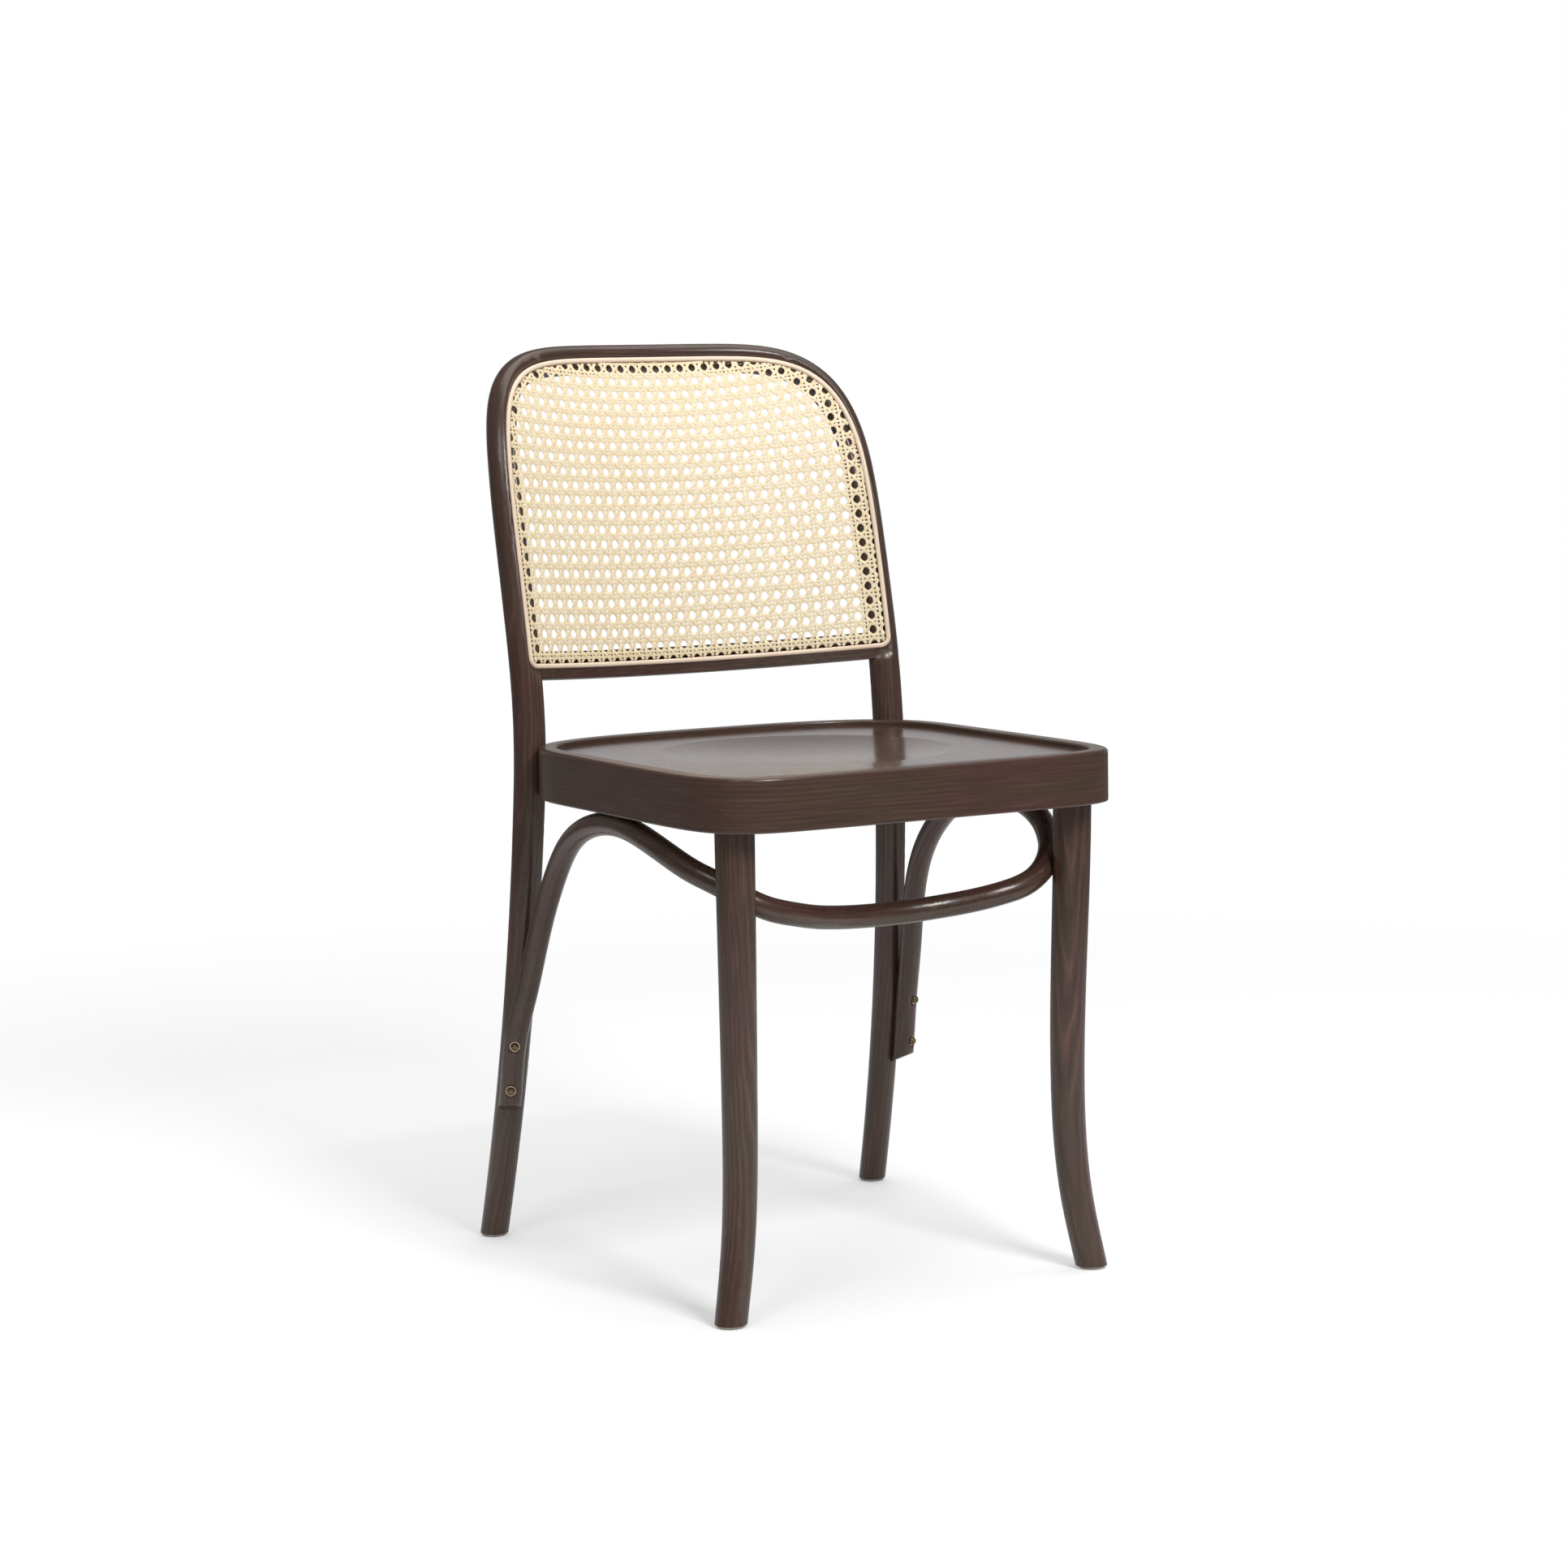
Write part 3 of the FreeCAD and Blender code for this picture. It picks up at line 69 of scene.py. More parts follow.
# Heights of a strand's middle in the weave, in strand thicknesses
BOTTOM, UNDER, LOW, MIDDLE, HIGH, OVER = 0.0, 0.5, 1.0, 1.5, 2.0, 2.5

Colour = tuple[float, float, float]
Band = tuple[float, float]
Input = object


# Shader nodes


class Value:
    """A number socket that takes part in Python arithmetic."""

    def __init__(self, graph: "Graph", socket: bpy.types.NodeSocket) -> None:
        """Wraps a socket of the graph."""
        self.graph = graph
        self.socket = socket

    def __add__(self, other: Input) -> "Value":
        """Sum."""
        return self.graph.math("ADD", self, other)

    __radd__ = __add__

    def __sub__(self, other: Input) -> "Value":
        """Difference."""
        return self.graph.math("SUBTRACT", self, other)

    def __rsub__(self, other: Input) -> "Value":
        """Difference from a number."""
        return self.graph.math("SUBTRACT", other, self)

    def __mul__(self, other: Input) -> "Value":
        """Product."""
        return self.graph.math("MULTIPLY", self, other)

    __rmul__ = __mul__

    def __truediv__(self, other: Input) -> "Value":
        """Quotient."""
        return self.graph.math("DIVIDE", self, other)

    def __rtruediv__(self, other: Input) -> "Value":
        """Quotient of a number."""
        return self.graph.math("DIVIDE", other, self)

    def __pow__(self, other: Input) -> "Value":
        """Power."""
        return self.graph.math("POWER", self, other)

    def __neg__(self) -> "Value":
        """Negative."""
        return self.graph.math("MULTIPLY", self, -1.0)

    def __abs__(self) -> "Value":
        """Size without sign."""
        return self.graph.math("ABSOLUTE", self)

    def above(self, other: Input) -> "Value":
        """1 where this is greater, else 0."""
        return self.graph.math("GREATER_THAN", self, other)

    def larger(self, other: Input) -> "Value":
        """The larger of the two."""
        return self.graph.math("MAXIMUM", self, other)

    def sine(self) -> "Value":
        """Sine of an angle in radians."""
        return self.graph.math("SINE", self)

    def swing(self, amount: float) -> "Value":
        """Noise about 0.5 as a swing about 0."""
        return (self - 0.5) * amount

    def ramped(self, low: float, high: float) -> "Value":
        """Smooth step from 0 at the low end to 1 at the high end.

        Args:
            low: Value that gives 0.
            high: Value that gives 1.

        Returns:
            The stepped value.
        """
        node = self.graph.node(
            "ShaderNodeMapRange",
            {"interpolation_type": "SMOOTHSTEP"},
            {"Value": self, "From Min": low, "From Max": high},
        )
        return Value(self.graph, node.outputs["Result"])


class Graph:
    """Node tree of one material or of the world."""

    def __init__(self, tree: bpy.types.NodeTree) -> None:
        """Empties the tree."""
        self.tree = tree
        tree.nodes.clear()

    def node(
        self,
        kind: str,
        settings: dict[str, object] | None = None,
        inputs: dict[str | int, Input] | None = None,
    ) -> bpy.types.Node:
        """Adds a node.

        Args:
            kind: Blender's name of the node type.
            settings: Properties, set first.
            inputs: Values or links of its sockets, by name or number.

        Returns:
            The node.
        """
        made = self.tree.nodes.new(kind)
        for key, value in (settings or {}).items():
            setattr(made, key, value)
        for key, value in (inputs or {}).items():
            if isinstance(value, Value):
                value = value.socket
            if isinstance(value, bpy.types.NodeSocket):
                self.tree.links.new(value, made.inputs[key])
            else:
                made.inputs[key].default_value = value
        return made

    def math(self, operation: str, first: Input, second: Input = 0.0) -> Value:
        """Adds a Math node.

        Args:
            operation: Its operation.
            first: First operand.
            second: Second operand, where it has one.

        Returns:
            The result.
        """
        node = self.node("ShaderNodeMath", {"operation": operation}, {0: first, 1: second})
        return Value(self, node.outputs[0])

    def parts(self, vector: bpy.types.NodeSocket) -> tuple[Value, Value, Value]:
        """Splits a vector into three values."""
        node = self.node("ShaderNodeSeparateXYZ", inputs={0: vector})
        first, second, third = (Value(self, output) for output in node.outputs)
        return first, second, third

    def object_place(self) -> tuple[Value, Value, Value]:
        """Object coordinates as three values."""
        return self.parts(self.node("ShaderNodeTexCoord").outputs["Object"])

    def noise(self, place: Sequence[Input], detail: float = 2.0) -> Value:
        """Noise at a place whose three values are already scaled.

        Args:
            place: Three values.
            detail: Octaves of finer noise.

        Returns:
            Noise about 0.5.
        """
        vector = self.node("ShaderNodeCombineXYZ", inputs=dict(enumerate(place)))
        node = self.node(
            "ShaderNodeTexNoise",
            inputs={"Vector": vector.outputs[0], "Scale": 1.0, "Detail": detail},
        )
        return Value(self, node.outputs["Fac"])

    def mix(self, share: Input, first: Input, second: Input) -> bpy.types.NodeSocket:
        """Mixes two colours, each a triple or a socket.

        Args:
            share: Share of the second colour.
            first: Colour at share 0.
            second: Colour at share 1.

        Returns:
            The mixed colour.
        """
        ends = {6: first, 7: second}
        for key, value in ends.items():
            if isinstance(value, tuple):
                ends[key] = (*value, 1.0)
        node = self.node("ShaderNodeMix", {"data_type": "RGBA"}, {0: share, **ends})
        return node.outputs[2]

    def bump(self, height: Value, distance: float) -> bpy.types.NodeSocket:
        """Normal raised by a height of 0 to 1 over a distance in metres."""
        node = self.node("ShaderNodeBump", inputs={"Distance": distance, "Height": height})
        return node.outputs[0]

    def surface(self, inputs: dict[str, Input]) -> None:
        """Ends the tree with a Principled shader."""
        shader = self.node("ShaderNodeBsdfPrincipled", inputs=inputs)
        self.node("ShaderNodeOutputMaterial", inputs={"Surface": shader.outputs[0]})


def new_material(name: str) -> tuple[bpy.types.Material, Graph]:
    """Material with an empty node tree."""
    material = bpy.data.materials.new(name)
    material.use_nodes = True
    return material, Graph(material.node_tree)


# Finishes


class GrainRun(Enum):
    """Direction in which the grain runs on a piece."""

    ALONG_BEND = "along_bend"
    UPRIGHT = "upright"
    SIDEWAYS = "sideways"
    FRONT_TO_REAR = "front_to_rear"
    ROUND_SEAT = "round_seat"


@dataclass(frozen=True)
class SeatPlan:
    """Outline of the seat: two half superellipses that meet at the widest line."""

    widest_y: float = 0.01445
    half_width: float = 0.2078
    front_depth: float = 0.279
    rear_depth: float = 0.141
    front_power: float = 8.1
    rear_power: float = 3.15
    mean_radius: float = 0.22

    def grain_place(self, graph: Graph) -> tuple[Value, Value, Value]:
        """Run round the seat, distance outwards and height, from object coordinates."""
        x, y, z = graph.object_place()
        behind = y - self.widest_y
        rear = behind.above(0.0)
        deep = rear * (self.rear_depth - self.front_depth) + self.front_depth
        power = rear * (self.rear_power - self.front_power) + self.front_power
        reach = ((abs(x) / self.half_width) ** power + (abs(behind) / deep) ** power) ** (1.0 / power)
        turn = graph.math("ARCTAN2", x, -behind)
        return turn * self.mean_radius, (reach - 1.0) * self.mean_radius, z


def grain_place(graph: Graph, run: GrainRun) -> tuple[Value, Value, Value]:
    """Place in the wood: run along the grain and two distances across it, in metres.

    Args:
        graph: Node tree of the finish.
        run: Direction of the grain.

    Returns:
        Along, across and across again.
    """
    if run is GrainRun.ALONG_BEND:
        attribute = graph.node("ShaderNodeAttribute", {"attribute_name": GRAIN})
        return graph.parts(attribute.outputs["Vector"])
    if run is GrainRun.ROUND_SEAT:
        return SeatPlan().grain_place(graph)
    x, y, z = graph.object_place()
    if run is GrainRun.UPRIGHT:
        return z, abs(x) - LEG_PLACE[0], y - LEG_PLACE[1]
    if run is GrainRun.SIDEWAYS:
        return x, y, z
    return y, x, z


@dataclass(frozen=True)
class Figure:
    """Noise drawn out along the grain, by its scales per metre."""

    along: float
    across: float
    detail: float = 1.0
    shift: float = 0.0

    def noise(self, graph: Graph, place: tuple[Value, Value, Value]) -> Value:
        """Noise at a place in the wood.

        Args:
            graph: Node tree of the finish.
            place: Run along the grain and two distances across it.

        Returns:
            Noise about 0.5.
        """
        along, first, second = place
        run = along * self.along
        if self.shift:
            run = run + self.shift
        return graph.noise((run, first * self.across, second * self.across), self.detail)


@dataclass(frozen=True)
class Beech:
    """Beech with growth rings, streaks and flecks, stained under lacquer or left bare.

    A band is the range of noise over which its mark fades in.
    """

    name: str
    run: GrainRun
    brown: Colour = (0.072, 0.033, 0.026)
    olive: Colour = (0.062, 0.037, 0.023)
    dark: Colour = (0.016, 0.007, 0.005)
    light: Colour = (0.155, 0.080, 0.058)
    tone: Figure = Figure(9.0, 35.0, detail=3.0)
    wander: Figure = Figure(11.0, 55.0, shift=3.1)
    patch: Figure = Figure(5.0, 20.0, shift=9.0)
    streak: Figure = Figure(20.0, 420.0, detail=3.0)
    fleck: Figure = Figure(150.0, 1500.0)
    tone_band: Band = (0.40, 0.60)
    patch_band: Band = (0.38, 0.62)
    pale_band: Band = (0.52, 0.76)
    dark_band: Band = (0.50, 0.28)
    fleck_band: Band = (0.60, 0.74)
    pith: tuple[float, float] = (0.030, -0.035)
    pith_lean: float = 0.030
    ring_spacing: float = 0.0040
    ring_wander: float = 10.0
    ring_share: float = 0.22
    late_power: float = 2.0
    early_power: float = 8.0
    early_share: float = 1.6
    streak_share: float = 0.38
    dark_streaks: float = 0.6
    fleck_share: float = 0.45
    roughness: float = 0.31
    streak_rough: float = 0.12
    fleck_rough: float = 0.08
    streak_height: float = 0.6
    fleck_depth: float = 0.4
    relief: float = 0.00006
    coat: float = 0.15
    coat_roughness: float = 0.16

    def material(self) -> bpy.types.Material:
        """Builds the material."""
        material, graph = new_material(self.name)
        place = grain_place(graph, self.run)
        streak = self.streak.noise(graph, place)
        fleck = self.fleck.noise(graph, place).ramped(*self.fleck_band)
        graph.surface(
            {
                "Base Color": self._colour(graph, place, streak, fleck),
                "Roughness": self.roughness + streak.swing(self.streak_rough) + fleck * self.fleck_rough,
                "Normal": graph.bump(streak * self.streak_height - fleck * self.fleck_depth, self.relief),
                "Coat Weight": self.coat,
                "Coat Roughness": self.coat_roughness,
            }
        )
        return material

    def _colour(
        self, graph: Graph, place: tuple[Value, Value, Value], streak: Value, fleck: Value
    ) -> bpy.types.NodeSocket:
        """Colour from the stain's tone, the growth rings, the streaks and the flecks."""
        patch = self.patch.noise(graph, place).ramped(*self.patch_band)
        ring = self._ring(graph, place)
        tone = self.tone.noise(graph, place).ramped(*self.tone_band)
        colour = graph.mix(tone, self.brown, self.olive)
        colour = graph.mix((1.0 - ring) ** self.late_power * self.ring_share, colour, self.dark)
        early = ring**self.early_power * patch * (self.ring_share * self.early_share)
        colour = graph.mix(early, colour, self.light)
        colour = graph.mix(streak.ramped(*self.pale_band) * self.streak_share, colour, self.light)
        dark = streak.ramped(*self.dark_band) * (self.streak_share * self.dark_streaks)
        return graph.mix(fleck * self.fleck_share, graph.mix(dark, colour, self.dark), self.dark)

    def _ring(self, graph: Graph, place: tuple[Value, Value, Value]) -> Value:
        """Wave of the growth rings round the pith, from 0 in late wood to 1 in early wood."""
        along, first, second = place
        aside = first - self.pith[0] - along * self.pith_lean
        deep = second - self.pith[1]
        radius = (aside * aside + deep * deep) ** 0.5
        wander = self.wander.noise(graph, place) * self.ring_wander
        return (radius * (math.tau / self.ring_spacing) + wander).sine() * 0.5 + 0.5


@dataclass(frozen=True)
class RattanStrand:
    """Peeled or split rattan: fine fibres along the strand, and a tone of its own."""

    name: str
    pale: Colour
    straw: Colour
    fibre: Colour
    mark: Colour = (0.42, 0.26, 0.13)
    tone_scales: tuple[float, float] = (9.0, 3.7)
    tone_layer: float = 0.5
    fibre_scales: tuple[float, float, float] = (60.0, 4200.0, 5.3)
    mark_scales: tuple[float, float, float] = (55.0, 350.0, 11.9)
    tone_band: Band = (0.35, 0.65)
    fibre_band: Band = (0.50, 0.75)
    mark_band: Band = (0.70, 0.80)
    fibre_share: float = 0.55
    mark_share: float = 0.35
    roughness: float = 0.42
    rough_swing: float = 0.25
    relief: float = 0.00008

    def material(self) -> bpy.types.Material:
        """Builds the material; the third grain value is the strand's number."""
        material, graph = new_material(self.name)
        place = grain_place(graph, GrainRun.ALONG_BEND)
        along, _, strand = place
        tone = graph.noise(
            (along * self.tone_scales[0], strand * self.tone_scales[1], self.tone_layer)
        )
        fibre = graph.noise([part * scale for part, scale in zip(place, self.fibre_scales)])
        mark = graph.noise([part * scale for part, scale in zip(place, self.mark_scales)], 1.0)
        colour = graph.mix(tone.ramped(*self.tone_band), self.pale, self.straw)
        colour = graph.mix(fibre.ramped(*self.fibre_band) * self.fibre_share, colour, self.fibre)
        colour = graph.mix(mark.ramped(*self.mark_band) * self.mark_share, colour, self.mark)
        graph.surface(
            {
                "Base Color": colour,
                "Roughness": self.roughness + fibre.swing(self.rough_swing),
                "Normal": graph.bump(fibre, self.relief),
            }
        )
        return material


@dataclass(frozen=True)
class Metal:
    """Metal with worn and tarnished spots."""

    name: str
    bright: Colour
    dull: Colour
    roughness: float
    scale: float = 900.0
    detail: float = 3.0
    band: Band = (0.35, 0.65)
    rough_swing: float = 0.3
    relief: float = 0.00005

    def material(self) -> bpy.types.Material:
        """Builds the material."""
        material, graph = new_material(self.name)
        worn = graph.noise([part * self.scale for part in graph.object_place()], self.detail)
        graph.surface(
            {
                "Base Color": graph.mix(worn.ramped(*self.band), self.bright, self.dull),
                "Roughness": self.roughness + worn.swing(self.rough_swing),
                "Metallic": 1.0,
                "Normal": graph.bump(worn, self.relief),
            }
        )
        return material


@dataclass(frozen=True)
class Nylon:
    """Moulded nylon, slightly scuffed."""

    name: str = "glide_nylon"
    clean: Colour = (0.62, 0.58, 0.50)
    scuffed: Colour = (0.42, 0.38, 0.32)
    scales: tuple[float, float, float] = (400.0, 400.0, 900.0)
    detail: float = 4.0
    band: Band = (0.45, 0.75)
    roughness: float = 0.45
    rough_swing: float = 0.3
    relief: float = 0.0001

    def material(self) -> bpy.types.Material:
        """Builds the material."""
        material, graph = new_material(self.name)
        place = [part * scale for part, scale in zip(graph.object_place(), self.scales)]
        scuff = graph.noise(place, self.detail)
        graph.surface(
            {
                "Base Color": graph.mix(scuff.ramped(*self.band), self.clean, self.scuffed),
                "Roughness": self.roughness + scuff.swing(self.rough_swing),
                "Normal": graph.bump(scuff, self.relief),
            }
        )
        return material


BARE_BEECH = {
    "brown": (0.50, 0.33, 0.19),
    "olive": (0.56, 0.40, 0.24),
    "dark": (0.34, 0.20, 0.11),
    "light": (0.66, 0.49, 0.31),
    "ring_share": 0.3,
    "roughness": 0.55,
    "coat": 0.0,
}


# Meshes


@dataclass(frozen=True)
class Station:
    """Place of a profile on its path, with its sideways and upward directions."""

    place: Vector
    side: Vector
    up: Vector

    def matrix(self) -> Matrix:
        """Turns profile coordinates into the chair's."""
        along = self.side.cross(self.up)
        turned = Matrix((self.side, self.up, along)).transposed().to_4x4()
        turned.translation = self.place
        return turned


def swept(
    profile: Sequence[tuple[float, float]], path: Sequence[Station], number: float, closed: bool = False
) -> bmesh.types.BMesh:
    """Bar made by extruding a profile from station to station.

    Every extrusion leaves the face that it starts from, so a face stays inside at each station.

    Args:
        profile: Points of the section, sideways and up.
        path: Stations along the bar.
        number: Kept in the grain attribute where a strand has its own tone.
        closed: Whether the bar is a ring.

    Returns:
        The bar, with the run along it in the grain attribute.
    """
    bm = bmesh.new()
    grain = bm.verts.layers.float_vector.new(GRAIN)
    matrix = path[0].matrix()
    cap = bm.faces.new([bm.verts.new(matrix @ Vector((u, v, 0.0))) for u, v in profile])
    for vertex, (u, _) in zip(cap.verts, profile):
        vertex[grain] = (0.0, u, number)
    first, run = cap, 0.0
    for last, station in zip(path, path[1:]):
        out = bmesh.ops.extrude_face_region(bm, geom=[cap])
        cap = next(item for item in out["geom"] if isinstance(item, bmesh.types.BMFace))
        target = station.matrix()
        bmesh.ops.transform(bm, matrix=target @ matrix.inverted(), verts=cap.verts)
        matrix = target
        run += (station.place - last.place).length
        for vertex in cap.verts:
            vertex[grain] = (run, vertex[grain].y, number)
    if closed:
        edges = list(first.edges) + list(cap.edges)
        bmesh.ops.delete(bm, geom=[first, cap], context="FACES_ONLY")
        bmesh.ops.bridge_loops(bm, edges=edges)
    bmesh.ops.recalc_face_normals(bm, faces=bm.faces)
    return bm


def stations(
    places: Sequence[Vector], normals: Sequence[Vector], closed: bool = False
) -> list[Station]:
    """Stations whose upward direction leans as little as possible from the given normals.

    Args:
        places: Points along the path.
        normals: Upward direction wanted at each point.
        closed: Whether the last point is followed by the first.

    Returns:
        One station for each point.
    """
    found = []
    count = len(places)
    for index, (place, normal) in enumerate(zip(places, normals)):
        after = places[(index + 1) % count] if closed else places[min(index + 1, count - 1)]
        before = places[index - 1] if closed else places[max(index - 1, 0)]
        along = (after - before).normalized()
        side = normal.cross(along).normalized()
        found.append(Station(place, side, along.cross(side)))
    return found


def joined(parts: Sequence[bmesh.types.BMesh]) -> bmesh.types.BMesh:
    """All the parts in one mesh; the parts are freed."""
    whole = bmesh.new()
    scratch = bpy.data.meshes.new("scratch")
    for part in parts:
        part.to_mesh(scratch)
        part.free()
        whole.from_mesh(scratch)
    bpy.data.meshes.remove(scratch)
    return whole


def piece_from(
    bm: bmesh.types.BMesh, name: str, material: bpy.types.Material
) -> bpy.types.Object:
    """Finished piece that rides on the chair.

    Args:
        bm: Its mesh, which is freed.
        name: Its name.
        material: Its finish.

    Returns:
        The object.
    """
    mesh = bpy.data.meshes.new(name)
    bm.to_mesh(mesh)
    bm.free()
    mesh.shade_smooth()
    mesh.set_sharp_from_angle(angle=SHARP_ANGLE)
    mesh.materials.append(material)
    piece = bpy.data.objects.new(name, mesh)
    bpy.context.scene.collection.objects.link(piece)
    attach(piece, BODY)
    LOG.info("%s: %d faces", name, len(mesh.polygons))
    return piece


def dress(nodes: dict[str, bpy.types.Object], names: Sequence[str], material: bpy.types.Material) -> None:
    """Gives CAD nodes a finish.

    Args:
        nodes: The frame's nodes by name.
        names: Nodes to dress.
        material: Their finish.
    """
    for name in names:
        node = nodes[name]
        if not node.material_slots:
            node.data.materials.append(material)
        for slot in node.material_slots:
            slot.material = material
        LOG.info("%s: dressed in %s", name, material.name)


@dataclass(frozen=True)
class GrainLine:
    """Line that the grain of a bent bar follows."""

    points: np.ndarray

    def places(self, verts: np.ndarray) -> np.ndarray:
        """Where each vertex lies along and across the bar.

        Args:
            verts: Places of the vertices, one row each.

        Returns:
            One row each: run along the line and two distances across it.
        """
        starts, steps = self.points[:-1], np.diff(self.points, axis=0)
        lengths = np.linalg.norm(steps, axis=1)
        runs = np.concatenate([[0.0], np.cumsum(lengths)])
        sides = self._sides(steps / lengths[:, None])
        found = np.zeros_like(verts)
        for row, vert in enumerate(verts):
            offsets = vert - starts
            shares = np.clip((offsets * steps).sum(1) / lengths**2, 0.0, 1.0)
            gaps = offsets - steps * shares[:, None]
            nearest = int(np.argmin((gaps**2).sum(1)))
            share, gap = shares[nearest], gaps[nearest]
            side = sides[nearest]
            other = np.cross(steps[nearest] / lengths[nearest], side)
            run = runs[nearest] + share * lengths[nearest]
            found[row] = (run, gap @ side, gap @ other)
        return found

    @staticmethod
    def _sides(along: np.ndarray) -> np.ndarray:
        """Sideways directions carried along the line without twist."""
        side = np.array([1.0, 0.0, 0.0])
        if abs(along[0] @ side) > PARALLEL:
            side = np.array([0.0, 1.0, 0.0])
        sides = []
        for direction in along:
            side = side - direction * (direction @ side)
            side = side / np.linalg.norm(side)
            sides.append(side)
        return np.array(sides)


def smooth_line(points: Sequence[Vector], order: int) -> np.ndarray:
    """Points of a NURBS line pulled by the given points, ends included."""
    curve = bpy.data.curves.new("line", "CURVE")
    curve.dimensions = "3D"
    curve.resolution_u = LINE_STEPS
    spline = curve.splines.new("NURBS")
    spline.points.add(len(points) - 1)
    for target, point in zip(spline.points, points):
        target.co = (*point, 1.0)
    spline.order_u = order
    spline.use_endpoint_u = True
    holder = bpy.data.objects.new("line", curve)
    mesh = bpy.data.meshes.new_from_object(holder)
    line = np.array([vertex.co for vertex in mesh.vertices])
    bpy.data.objects.remove(holder)
    bpy.data.curves.remove(curve)
    bpy.data.meshes.remove(mesh)
    return line


def bent_copy(
    nodes: dict[str, bpy.types.Object], node: str, name: str, line: GrainLine,
    material: bpy.types.Material,
) -> bpy.types.Object:
    """Copy of a CAD node, welded, with the grain along its bend; it stands for the node.

    Args:
        nodes: The frame's nodes by name.
        node: Node to copy.
        name: Name of the copy.
        line: Line of the bar.
        material: Its finish.

    Returns:
        The copy.
    """
    bm = bmesh.new()
    bm.from_mesh(nodes[node].data)
    bmesh.ops.remove_doubles(bm, verts=bm.verts, dist=WELD)
    grain = bm.verts.layers.float_vector.new(GRAIN)
    places = line.places(np.array([vertex.co for vertex in bm.verts]))
    for vertex, place in zip(bm.verts, places):
        vertex[grain] = place
    piece = piece_from(bm, name, material)
    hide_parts(node)
    return piece


# Back


@dataclass(frozen=True)
class BackForm:
    """Curves of the hoop and of the flat that carries the cane."""

    widest_y: float = 0.01445
    post_behind: float = 0.1101
    post_x: float = 0.1895
    splay: float = 0.035
    splay_start: float = 0.440
    splay_end: float = 0.520
    levels: tuple[float, ...] = (0.0, 0.420, 0.560, 0.700, 0.810)
    slopes: tuple[float, ...] = (-0.286, -0.047, 0.200, 0.240, 0.500)
    plan_radius: float = 0.431
    arch_level: float = 0.525
    arch_power: float = 6.0
    flat_depth: float = 0.0116
    rail_level: float = 0.5345
    rail_half: float = 0.0012
    corner: float = 0.0089
    sheet_base: float = 0.500
    normal_step: float = 1e-4
    rail_steps: int = 14
    corner_steps: int = 8
    arch_steps: int = 60
    arch_start: float = 2.5
    hoop_step: float = 0.02
    hoop_degrees: int = 2

    def slope(self, level: float) -> float:
        """Rearward run of the back per rise."""
        return float(np.interp(level, self.levels, self.slopes))

    def lean(self, level: float) -> float:
        """Rearward place of the bar's axis at a level, before the plan arc."""
        return self.widest_y + self.post_behind + self._run(level) - self._run(self.levels[1])

    def _run(self, level: float) -> float:
        """Rearward run from the floor to a level."""
        run = 0.0
        for low, high in zip(self.levels, self.levels[1:]):
            top = min(level, high)
            if top > low:
                run += (top - low) * (self.slope(low) + self.slope(top)) / 2
        return run + max(0.0, level - self.levels[-1]) * self.slopes[-1]

    def plan(self, x: float) -> float:
        """How far the plan arc lies behind the posts."""
        edge = math.sqrt(self.plan_radius**2 - self.post_x**2)
        return math.sqrt(self.plan_radius**2 - x**2) - edge

    def surface(self, x: float, level: float, lift: float) -> Vector:
        """Point at a height above the flat."""
        across = x / math.sqrt(self.plan_radius**2 - x**2)
        steepness = math.sqrt(1 + self.slope(level) ** 2 + across**2)
        behind = self.lean(level) + self.plan(x)
        return Vector((x, behind - (self.flat_depth + lift) * steepness, level))

    def normal(self, x: float, level: float) -> Vector:
        """Direction out of the flat, towards the sitter."""
        step = self.normal_step
        sideways = self.surface(x + step, level, 0.0) - self.surface(x - step, level, 0.0)
        upwards = self.surface(x, level + step, 0.0) - self.surface(x, level - step, 0.0)
        return sideways.cross(upwards).normalized()

    def arch(self, angle: float, inset: float) -> tuple[float, float]:
        """Point of the arch in front view, moved inwards."""
        high = self.levels[-1] - self.arch_level
        c, s = math.cos(angle), math.sin(angle)
        power = self.arch_power
        reach = (abs(c / self.post_x) ** power + abs(s / high) ** power) ** (-1 / power)
        x, z = reach * c, reach * s
        nx = math.copysign(abs(x / self.post_x) ** (power - 1) / self.post_x, x)
        nz = math.copysign(abs(z / high) ** (power - 1) / high, z)
        length = math.hypot(nx, nz)
        return x - inset * nx / length, self.arch_level + z - inset * nz / length

    def rail_line(self, x: float) -> float:
        """Level of the rail's middle on its front face."""
        tilt = math.atan(self.slope(self.rail_level))
        front = self.plan_radius - self.flat_depth
        edge = math.sqrt(self.plan_radius**2 - self.post_x**2)
        return self.rail_level - math.sin(tilt) * (math.sqrt(front**2 - x**2) - edge)

    def inset(self, x: float, level: float) -> float:
        """Distance of a point in front view inside the bar's axis line."""
        high = self.levels[-1] - self.arch_level
        u, v = abs(x) / self.post_x, max(0.0, (level - self.arch_level) / high)
        power = self.arch_power
        reach = max(TINY, u**power + v**power) ** (1 / power)
        fall_x = (u / reach) ** (power - 1) / self.post_x
        fall_z = (v / reach) ** (power - 1) / high
        side = (1 - reach) / math.hypot(fall_x, fall_z)
        bottom = level - self.rail_line(max(-self.post_x, min(self.post_x, x))) + self.rail_half
        if side < self.corner and bottom < self.corner:
            return self.corner - math.hypot(self.corner - side, self.corner - bottom)
        return min(side, bottom)

